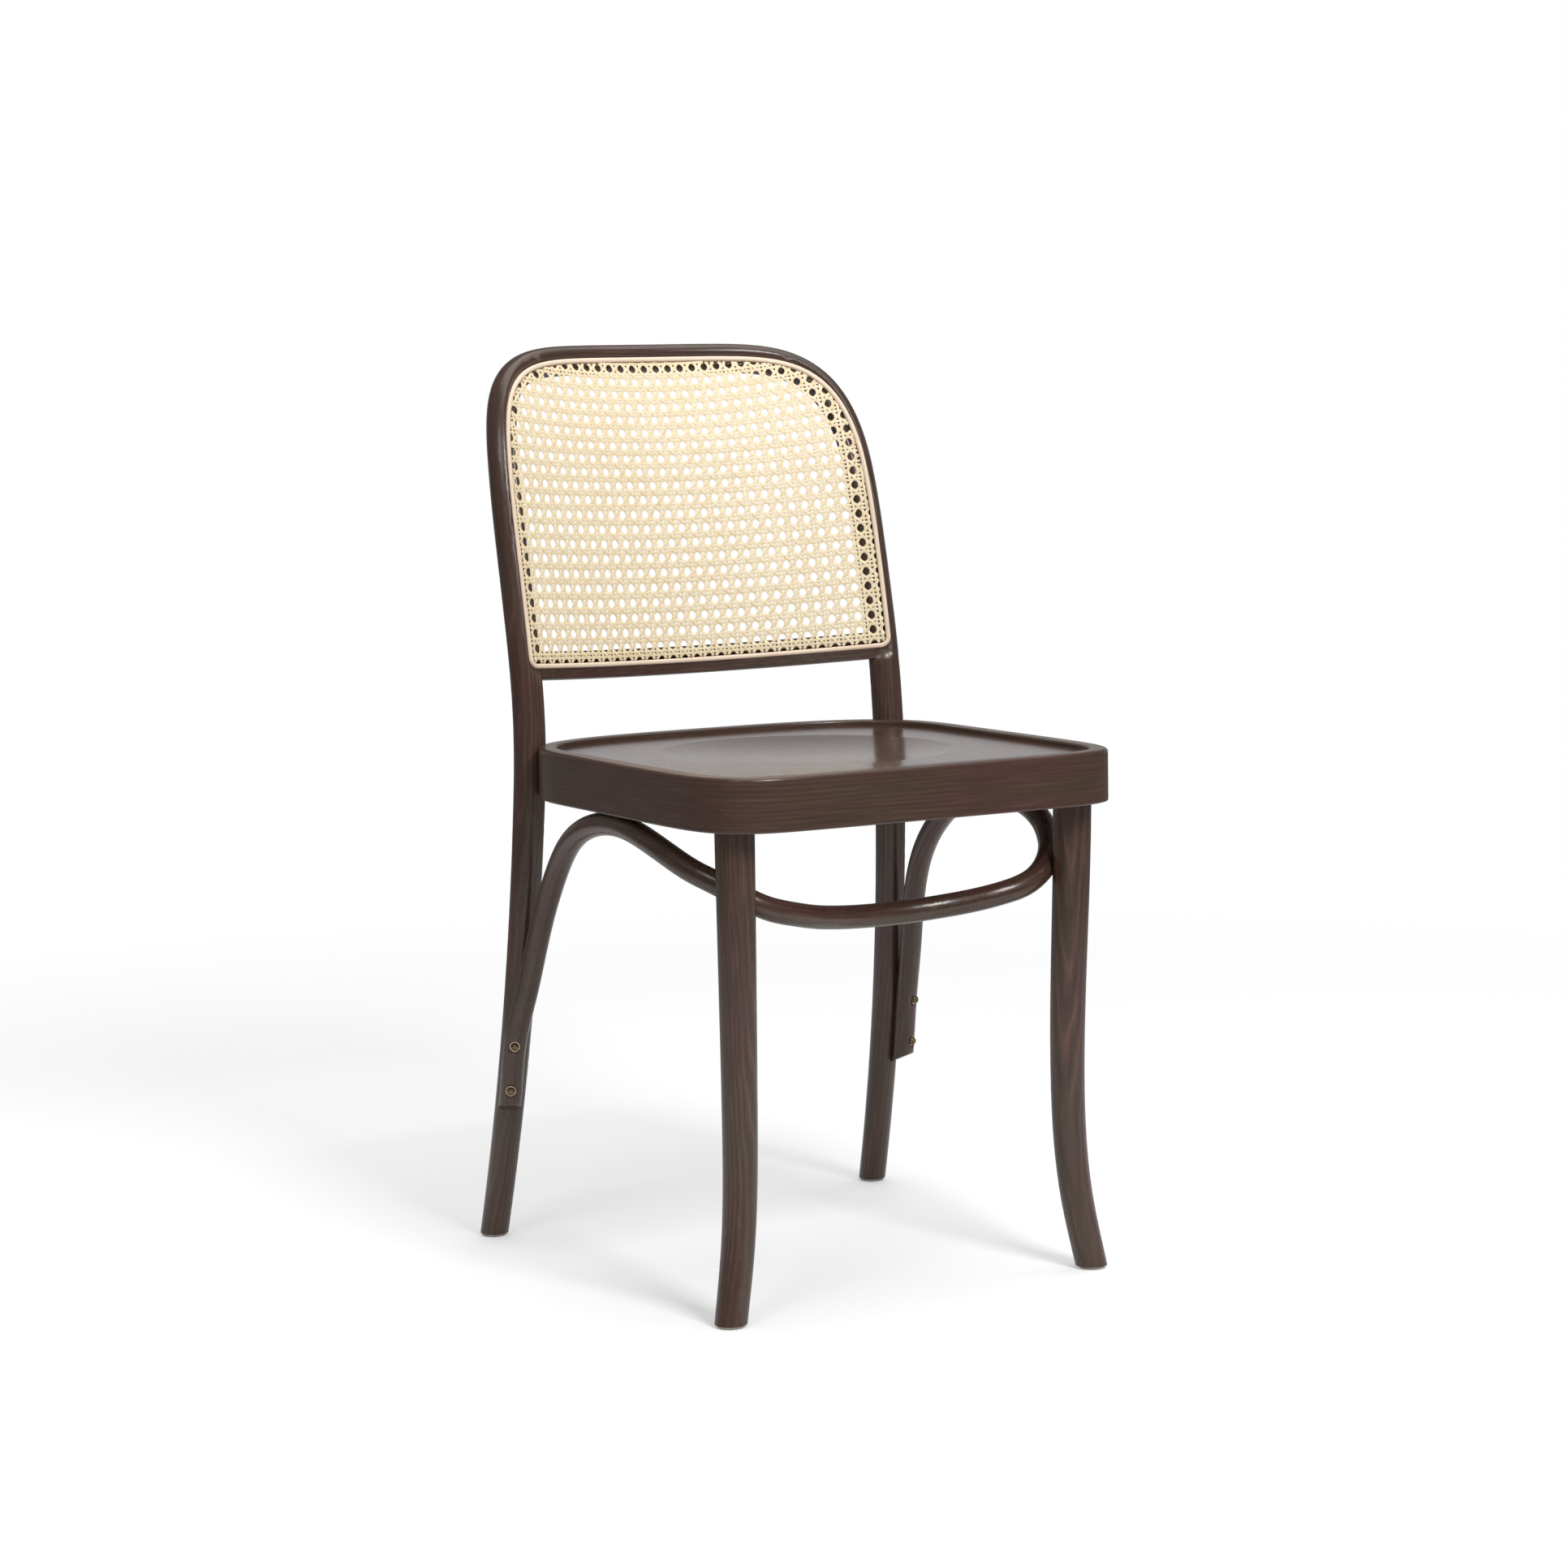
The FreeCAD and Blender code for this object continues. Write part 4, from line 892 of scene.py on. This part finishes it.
    def outline(self, inset: float) -> list[tuple[float, float]]:
        """Closed line in front view from the bottom's middle round to it again."""
        corner = self.corner - inset
        side = self.post_x - inset
        bottom = self.rail_line(side - corner) + inset - self.rail_half
        half = []
        for step in range(self.rail_steps):
            x = (side - corner) * step / self.rail_steps
            half.append((x, self.rail_line(x) + inset - self.rail_half))
        for step in range(self.corner_steps + 1):
            turn = math.radians(-90 + 90 * step / self.corner_steps)
            x, z = side - corner + corner * math.cos(turn), bottom + corner + corner * math.sin(turn)
            half.append((x, z))
        low = math.atan2(bottom + self.arch_start * corner - self.arch_level, side)
        for step in range(self.arch_steps):
            half.append(self.arch(low + (math.pi / 2 - low) * step / self.arch_steps, inset))
        crown = self.arch(math.pi / 2, inset)
        left = [(-x, z) for x, z in reversed(half[1:])]
        return half + [crown] + left

    def hoop_line(self) -> np.ndarray:
        """Axis of the bent bar from one foot over the crown to the other."""
        half = []
        fade = self.splay_end - self.splay_start
        for level in np.arange(0.0, self.arch_level - self.hoop_step / 2, self.hoop_step):
            if level >= self.splay_start:
                out = self.splay * max(0.0, self.splay_end - level) ** 2 / (2 * fade)
            else:
                out = self.splay * (self.splay_start - level + fade / 2)
            half.append((self.post_x + out, self.lean(level), level))
        for degrees in range(0, 90, self.hoop_degrees):
            x, level = self.arch(math.radians(degrees), 0.0)
            half.append((x, self.lean(level) + self.plan(x), level))
        crown = (0.0, self.lean(self.levels[-1]) + self.plan(0.0), self.levels[-1])
        left = [(-x, y, z) for x, y, z in reversed(half)]
        return np.array(half + [crown] + left)


class StrandRun(Enum):
    """Direction of a layer of cane strands."""

    UPRIGHT = "upright"
    CROSSWISE = "crosswise"
    RISING = "rising"
    FALLING = "falling"


@dataclass(frozen=True)
class CaneWeave:
    """Open octagonal cane: pairs upright and crosswise, and single strands both ways aslant.

    Run across the sheet is s, from the middle to the right; run up the sheet is t. A hole's middle
    lies at hole_s and hole_t, and the others lie whole pitches from it.
    """

    form: BackForm = field(default_factory=BackForm)
    column_pitch: float = 0.01266
    row_pitch: float = 0.01403
    hole_s: float = 0.1816
    hole_t: float = 0.0520
    pair_half: float = 0.0019
    pair_width: float = 0.0023
    slant_width: float = 0.0025
    thickness: float = 0.00042
    lift: float = 0.0003
    edge_inset: float = 0.0036
    fold_depth: float = 0.0040
    columns: range = range(-2, 31)
    rows: range = range(-3, 23)
    shoulder: float = 0.55
    level_half: float = 0.0014
    crossing_half: float = 0.0028
    slant_ease: float = 0.3
    edge_rounds: int = 12
    sheet_rise: float = 0.36
    table_rows: int = 361

    def place(self, s: float, t: float, lift: float) -> tuple[Vector, float, float]:
        """Point of the sheet, with its front view coordinates."""
        form = self.form
        x = form.plan_radius * math.sin(s / form.plan_radius)
        base = self._level(t)
        level = base - math.sin(math.atan(form.slope(base))) * form.plan(x)
        return form.surface(x, level, lift), x, level

    def _level(self, t: float) -> float:
        """Level at the posts for a run up the sheet."""
        levels, runs = self._table()
        return float(np.interp(t, runs, levels))

    def _table(self) -> tuple[np.ndarray, np.ndarray]:
        """Levels and the runs up the sheet that reach them."""
        base = self.form.sheet_base
        levels = np.linspace(base, base + self.sheet_rise, self.table_rows)
        slopes = np.interp(levels, self.form.levels, self.form.slopes)
        rates = np.sqrt(1 + slopes**2)
        steps = (rates[1:] + rates[:-1]) / 2 * np.diff(levels)
        return levels, np.concatenate([[0.0], np.cumsum(steps)])

    def inside(self, s: float, t: float) -> bool:
        """Whether a point of the sheet lies inside the fold."""
        _, x, level = self.place(s, t, 0.0)
        return self.form.inset(x, level) >= self.edge_inset

    def _edge(self, start: tuple[float, float], end: tuple[float, float]) -> tuple[float, float]:
        """Point between one inside and one outside the fold where the strand turns down."""
        low, high = np.array(start), np.array(end)
        for _ in range(self.edge_rounds):
            middle = (low + high) / 2
            if self.inside(*middle):
                low = middle
            else:
                high = middle
        return tuple(low)

    def _strand(
        self, route: Sequence[tuple[float, float, float]], half_width: float, number: int
    ) -> bmesh.types.BMesh | None:
        """One strand along a route of s, t and height in strand thicknesses.

        Args:
            route: Points in order.
            half_width: Half the strand's width.
            number: The strand's number.

        Returns:
            Its mesh, or None where too little of it lies inside the fold.
        """
        kept = [point for point in route if self.inside(point[0], point[1])]
        if len(kept) < 2:
            return None
        first, last = route.index(kept[0]), route.index(kept[-1])
        ends = []
        for inner, outer in ((first, first - 1), (last, last + 1)):
            if 0 <= outer < len(route):
                ends.append((*self._edge(route[inner][:2], route[outer][:2]), route[inner][2]))
            else:
                ends.append(route[inner])
        points = [ends[0], *route[first + 1 : last], ends[1]]
        places, normals = [], []
        for s, t, rise in points:
            place, x, level = self.place(s, t, self.lift + (rise - 0.5) * self.thickness)
            places.append(place)
            normals.append(self.form.normal(x, level))
        path = stations(places, normals)
        folds = []
        for station, normal, sense in ((path[0], normals[0], -1), (path[-1], normals[-1], 1)):
            down = station.place - normal * self.fold_depth
            folds.append(Station(down, station.side, normal * sense))
        path = [
            Station(folds[0].place, path[0].side, -self._along(path[0], path[1])),
            *path,
            Station(folds[1].place, path[-1].side, self._along(path[-2], path[-1])),
        ]
        top, edge, w = self.thickness, self.thickness * self.shoulder, half_width
        profile = [(-w, 0.0), (w, 0.0), (w, edge), (0.0, top), (-w, edge)]
        return swept(profile, path, float(number))

    @staticmethod
    def _along(start: Station, end: Station) -> Vector:
        """Direction from one station to the next."""
        return (end.place - start.place).normalized()

    def _routes(self, run: StrandRun) -> Iterator[list[tuple[float, float, float]]]:
        """Routes of one layer's strands, each a list of s, t and height."""
        columns = [self.hole_s - self.column_pitch * number for number in self.columns]
        rows = [self.hole_t + self.row_pitch * number for number in self.rows]
        half_s, half_t = self.column_pitch / 2, self.row_pitch / 2
        if run is StrandRun.UPRIGHT:
            for s in columns:
                for member, crossing in ((-1, UNDER), (1, OVER)):
                    across = s + half_s + member * self.pair_half
                    route = []
                    for t in rows:
                        for middle, half, height in (
                            (t, self.level_half, LOW), (t + half_t, self.crossing_half, crossing)
                        ):
                            route += [(across, middle - half, height), (across, middle + half, height)]
                    yield route
        elif run is StrandRun.CROSSWISE:
            for t in rows:
                for member in (-1, 1):
                    up = t + half_t + member * self.pair_half
                    route = []
                    for s in reversed(columns):
                        route += [(s, up, MIDDLE), (s + half_s, up, MIDDLE)]
                    yield route
        else:
            yield from self._slanted(run, columns, rows)

    def _slanted(
        self, run: StrandRun, columns: Sequence[float], rows: Sequence[float]
    ) -> Iterator[list[tuple[float, float, float]]]:
        """Routes of the strands aslant, which pass midway between the crossings of the pairs."""
        rising = run is StrandRun.RISING
        at_upright, at_crosswise = (HIGH, UNDER) if rising else (BOTTOM, OVER)
        half_s, half_t = self.column_pitch / 2, self.row_pitch / 2
        sense = 1 if rising else -1
        for start in range(-len(rows), len(columns)):
            route = []
            for step in range(2 * len(rows)):
                s = columns[-1] + start * self.column_pitch + step * half_s
                t = rows[0] + step * half_t + half_t
                height = at_crosswise if step % 2 == 0 else at_upright
                for part in (-self.slant_ease, self.slant_ease):
                    place = s + part * half_s
                    route.append((place * sense + self._mirror(sense), t + part * half_t, height))
            yield route

    def _mirror(self, sense: int) -> float:
        """Shift that lays the mirrored strands back on the columns."""
        if sense > 0:
            return 0.0
        return (2 * self.hole_s) % self.column_pitch

    def build(self, material: bpy.types.Material) -> None:
        """Weaves the four layers, which together stand for the cane sheet."""
        for run in StrandRun:
            slanted = run in (StrandRun.RISING, StrandRun.FALLING)
            half_width = (self.slant_width if slanted else self.pair_width) / 2
            strands = []
            for number, route in enumerate(self._routes(run)):
                strand = self._strand(route, half_width, number)
                if strand is not None:
                    strands.append(strand)
            piece = piece_from(joined(strands), f"cane_{run.value}", material)
            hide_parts("cane_mesh")


@dataclass(frozen=True)
class CaneSpline:
    """Rounded rattan spline pressed into the groove over the cane's edge."""

    form: BackForm = field(default_factory=BackForm)
    inset: float = 0.0004
    half_width: float = 0.0023
    proud: float = 0.0019
    depth: float = 0.0030
    crown_steps: int = 8
    crown_power: float = 0.8

    def build(self, material: bpy.types.Material) -> None:
        """Sweeps the spline round the cane."""
        places, normals = [], []
        for x, z in self.form.outline(self.inset):
            places.append(self.form.surface(x, z, 0.0))
            normals.append(self.form.normal(x, z))
        profile = [(-self.half_width, -self.depth), (self.half_width, -self.depth)]
        for step in range(self.crown_steps + 1):
            turn = math.pi * step / self.crown_steps
            rise = self.proud * math.sin(turn) ** self.crown_power
            profile.append((self.half_width * math.cos(turn), rise))
        bm = swept(profile, stations(places, normals, closed=True), 1.0, closed=True)
        piece = piece_from(bm, "spline", material)
        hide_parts("cane_spline")


@dataclass(frozen=True)
class Back:
    """Hoop, rail, dowels, cane and spline."""

    form: BackForm = field(default_factory=BackForm)

    def build(self, nodes: dict[str, bpy.types.Object]) -> None:
        """Dresses the back and weaves its cane."""
        bend = Beech("stained_beech_hoop", GrainRun.ALONG_BEND).material()
        bent_copy(nodes, "back_hoop", "hoop", GrainLine(self.form.hoop_line()), bend)
        dress(nodes, ["back_rail"], Beech("stained_beech_rail", GrainRun.SIDEWAYS).material())
        bare = Beech("bare_beech_dowel", GrainRun.SIDEWAYS, **BARE_BEECH).material()
        dress(nodes, ["rail_dowels"], bare)
        cane = RattanStrand(
            "cane_strand",
            pale=(0.91, 0.78, 0.54),
            straw=(0.86, 0.70, 0.44),
            fibre=(0.74, 0.57, 0.35),
        )
        CaneWeave(self.form).build(cane.material())
        reed = RattanStrand(
            "spline_reed",
            pale=(0.90, 0.74, 0.58),
            straw=(0.84, 0.66, 0.50),
            fibre=(0.74, 0.56, 0.41),
            mark_share=0.15,
        )
        CaneSpline(self.form).build(reed.material())


# Seat


@dataclass(frozen=True)
class Seat:
    """Bent rim, dished panel and the blocks inside."""

    blocks: tuple[str, ...] = (
        "corner_block_front_left",
        "corner_block_front_right",
        "corner_block_rear_left",
        "corner_block_rear_right",
    )

    def build(self, nodes: dict[str, bpy.types.Object]) -> None:
        """Dresses the seat."""
        rim = Beech(
            "stained_beech_rim", GrainRun.ROUND_SEAT, pith=(-0.060, -0.4), pith_lean=0.01, ring_share=0.12
        )
        dress(nodes, ["seat_rim"], rim.material())
        panel = Beech(
            "stained_beech_panel",
            GrainRun.FRONT_TO_REAR,
            olive=(0.068, 0.034, 0.025),
            pith=(0.02, -0.30),
            ring_share=0.12,
            roughness=0.24,
            coat=0.5,
        )
        dress(nodes, ["seat_panel"], panel.material())
        bare = Beech("bare_beech_block", GrainRun.SIDEWAYS, **BARE_BEECH)
        dress(nodes, self.blocks, bare.material())


# Legs and brace


@dataclass(frozen=True)
class Legs:
    """Front legs with their wedges, and the glides."""

    def build(self, nodes: dict[str, bpy.types.Object]) -> None:
        """Dresses the front legs and the glides."""
        upright = Beech(
            "stained_beech_leg", GrainRun.UPRIGHT, pith=(0.022, 0.050), pith_lean=0.045, ring_share=0.30
        )
        dress(nodes, ["front_leg_left", "front_leg_right"], upright.material())
        bare = Beech("bare_beech_wedge", GrainRun.UPRIGHT, **BARE_BEECH)
        dress(nodes, ["tenon_wedges"], bare.material())
        glides = [name for name in nodes if name.startswith("glide_") and name != "glide_nails"]
        dress(nodes, sorted(glides), Nylon().material())


@dataclass(frozen=True)
class Brace:
    """One long bent bar that ties the legs."""

    half: tuple[tuple[float, float, float], ...] = (
        (0.2117, 0.1350, 0.134),
        (0.2106, 0.1260, 0.163),
        (0.2090, 0.1180, 0.192),
        (0.2048, 0.1131, 0.241),
        (0.1988, 0.0940, 0.3005),
        (0.1959, 0.0662, 0.3513),
        (0.1980, 0.0209, 0.3910),
        (0.1961, -0.0554, 0.4092),
        (0.1893, -0.1410, 0.3902),
        (0.1778, -0.1679, 0.3771),
        (0.1565, -0.1943, 0.3621),
        (0.1424, -0.2017, 0.3527),
        (0.1190, -0.2051, 0.3443),
        (0.0620, -0.1862, 0.3320),
    )
    line_order: int = 3

    def build(self, nodes: dict[str, bpy.types.Object]) -> None:
        """Dresses the brace."""
        right = [Vector(point) for point in self.half]
        left = [Vector((-x, y, z)) for x, y, z in reversed(self.half)]
        line = GrainLine(smooth_line(right + left, self.line_order))
        finish = Beech("stained_beech_brace", GrainRun.ALONG_BEND, roughness=0.27, ring_share=0.15)
        bent_copy(nodes, "leg_brace", "brace", line, finish.material())


@dataclass(frozen=True)
class Hardware:
    """Screws, bolts, washers, inserts and nails."""

    brass_nodes: tuple[str, ...] = ("brace_cup_washers", "brace_rim_screws", "brace_front_screws")
    head_nodes: tuple[str, ...] = ("brace_leg_screws",)
    steel_nodes: tuple[str, ...] = (
        "corner_block_screws",
        "seat_panel_screws",
        "rear_leg_bolts",
        "bolt_washers",
        "threaded_inserts",
        "glide_nails",
    )

    def build(self, nodes: dict[str, bpy.types.Object]) -> None:
        """Dresses the metal parts."""
        brass = Metal(
            "aged_brass", bright=(0.78, 0.64, 0.48), dull=(0.30, 0.21, 0.14), roughness=0.34
        )
        dress(nodes, self.brass_nodes, brass.material())
        tarnished = Metal(
            "tarnished_brass", bright=(0.30, 0.21, 0.12), dull=(0.07, 0.05, 0.03), roughness=0.45
        )
        dress(nodes, self.head_nodes, tarnished.material())
        steel = Metal(
            "zinc_steel", bright=(0.66, 0.66, 0.64), dull=(0.45, 0.46, 0.47), roughness=0.34
        )
        dress(nodes, self.steel_nodes, steel.material())


# Studio


@dataclass(frozen=True)
class Lamp:
    """Square area lamp that faces a point of the chair."""

    name: str
    place: tuple[float, float, float]
    width: float
    power: float
    target: tuple[float, float, float] = (0.0, 0.0, 0.4)

    def build(self) -> None:
        """Hangs the lamp."""
        light = bpy.data.lights.new(self.name, "AREA")
        light.shape = "SQUARE"
        light.size = self.width
        light.energy = self.power
        lamp = bpy.data.objects.new(self.name, light)
        bpy.context.scene.collection.objects.link(lamp)
        lamp.location = self.place
        towards = Vector(self.target) - Vector(self.place)
        lamp.rotation_mode = "QUATERNION"
        lamp.rotation_quaternion = towards.to_track_quat("-Z", "Y")


@dataclass(frozen=True)
class PhotoCamera:
    """The photograph's viewing angle, solved from its perspective."""

    place: tuple[float, float, float] = (-1.62019, -2.84023, 0.79263)
    azimuth: float = math.radians(-29.753)
    elevation: float = math.radians(6.403)
    roll: float = math.radians(-1.057)
    lens: float = 83.65
    sensor: float = 36.0
    nearest: float = 0.05
    farthest: float = 60.0

    def build(self) -> None:
        """Sets up the scene's camera."""
        level = math.cos(self.elevation)
        back = Vector((
            math.sin(self.azimuth) * level,
            -math.cos(self.azimuth) * level,
            math.sin(self.elevation),
        ))
        right = Vector((math.cos(self.azimuth), math.sin(self.azimuth), 0.0))
        up = back.cross(right)
        across = right * math.cos(self.roll) + up * math.sin(self.roll)
        upwards = up * math.cos(self.roll) - right * math.sin(self.roll)
        data = bpy.data.cameras.new("camera")
        data.lens = self.lens
        data.sensor_width = self.sensor
        data.clip_start, data.clip_end = self.nearest, self.farthest
        camera = bpy.data.objects.new("camera", data)
        bpy.context.scene.collection.objects.link(camera)
        turned = Matrix((across, upwards, back)).transposed().to_4x4()
        turned.translation = self.place
        camera.matrix_world = turned
        bpy.context.scene.camera = camera


@dataclass(frozen=True)
class Studio:
    """Pale floor and backdrop, soft lamps and the camera."""

    floor_radius: float = 20.0
    floor_sides: int = 96
    floor_albedo: float = 0.80
    floor_glow: float = 0.30
    fade_from: float = 0.9
    fade_to: float = 2.2
    ambient: float = 0.42
    reflected: float = 0.16
    backdrop: float = 0.74
    backdrop_way: tuple[float, float] = (0.50, 0.87)
    backdrop_band: Band = (0.62, 0.97)
    backdrop_fall: Band = (0.34, 0.02)
    lamps: tuple[Lamp, ...] = (
        Lamp("key", (0.1, -2.6, 2.5), 0.9, 62.0),
        Lamp("fill", (-1.9, -1.4, 2.6), 0.9, 13.0),
        Lamp("top", (0.5, 0.2, 3.0), 2.2, 30.0),
    )

    @staticmethod
    def _rays(graph: Graph) -> tuple[Value, Value]:
        """1 for rays that see the stage, and 1 for rays off gloss."""
        rays = graph.node("ShaderNodeLightPath").outputs
        seen = Value(graph, rays["Is Camera Ray"]).larger(Value(graph, rays["Is Transmission Ray"]))
        return seen, Value(graph, rays["Is Glossy Ray"])

    def _world(self) -> None:
        """White where it is seen; gloss reflects a bright backdrop behind and a dim room."""
        world = bpy.data.worlds.new("studio")
        bpy.context.scene.world = world
        world.use_nodes = True
        graph = Graph(world.node_tree)
        seen, glossy = self._rays(graph)
        x, y, z = graph.parts(graph.node("ShaderNodeTexCoord").outputs["Generated"])
        behind = (x * self.backdrop_way[0] + y * self.backdrop_way[1]).ramped(*self.backdrop_band)
        behind = behind * z.ramped(*self.backdrop_fall)
        gloss = behind * (self.backdrop - self.reflected) + self.reflected
        strength = seen.larger(glossy * gloss).larger((1.0 - glossy) * self.ambient)
        shade = graph.node("ShaderNodeBackground", inputs={"Color": WHITE, "Strength": strength})
        graph.node("ShaderNodeOutputWorld", inputs={"Surface": shade.outputs[0]})

    def _floor(self) -> None:
        """White floor that keeps the chair's shadow and fades into the backdrop."""
        bm = bmesh.new()
        bmesh.ops.create_circle(
            bm, cap_ends=True, radius=self.floor_radius, segments=self.floor_sides
        )
        mesh = bpy.data.meshes.new("floor")
        bm.to_mesh(mesh)
        bm.free()
        floor = bpy.data.objects.new("floor", mesh)
        bpy.context.scene.collection.objects.link(floor)
        material, graph = new_material("floor_white")
        x, y, _ = graph.object_place()
        distance = (x * x + y * y) ** 0.5
        camera, glossy = self._rays(graph)
        seen = camera.larger(glossy * self.reflected)
        grey = (self.floor_albedo, self.floor_albedo, self.floor_albedo, 1.0)
        matte = graph.node("ShaderNodeBsdfDiffuse", inputs={"Color": grey})
        glow = graph.node(
            "ShaderNodeEmission", inputs={"Color": WHITE, "Strength": seen * self.floor_glow}
        )
        near = graph.node("ShaderNodeAddShader", inputs={0: matte.outputs[0], 1: glow.outputs[0]})
        far = graph.node("ShaderNodeEmission", inputs={"Color": WHITE, "Strength": seen})
        share = distance.ramped(self.fade_from, self.fade_to)
        mixed = graph.node(
            "ShaderNodeMixShader", inputs={0: share, 1: near.outputs[0], 2: far.outputs[0]}
        )
        graph.node("ShaderNodeOutputMaterial", inputs={"Surface": mixed.outputs[0]})
        mesh.materials.append(material)

    def build(self) -> None:
        """Sets up the studio."""
        bpy.context.scene.view_settings.view_transform = "Standard"
        self._world()
        self._floor()
        for lamp in self.lamps:
            lamp.build()
        PhotoCamera().build()


def main() -> None:
    """Dresses the chair and sets up the studio around it."""
    logging.basicConfig(level=logging.INFO, format="%(message)s")
    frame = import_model()
    nodes = frame["nodes"]
    for assembly in (Back(), Seat(), Legs(), Brace(), Hardware()):
        assembly.build(nodes)
    Studio().build()


if __name__ == "__main__":
    main()
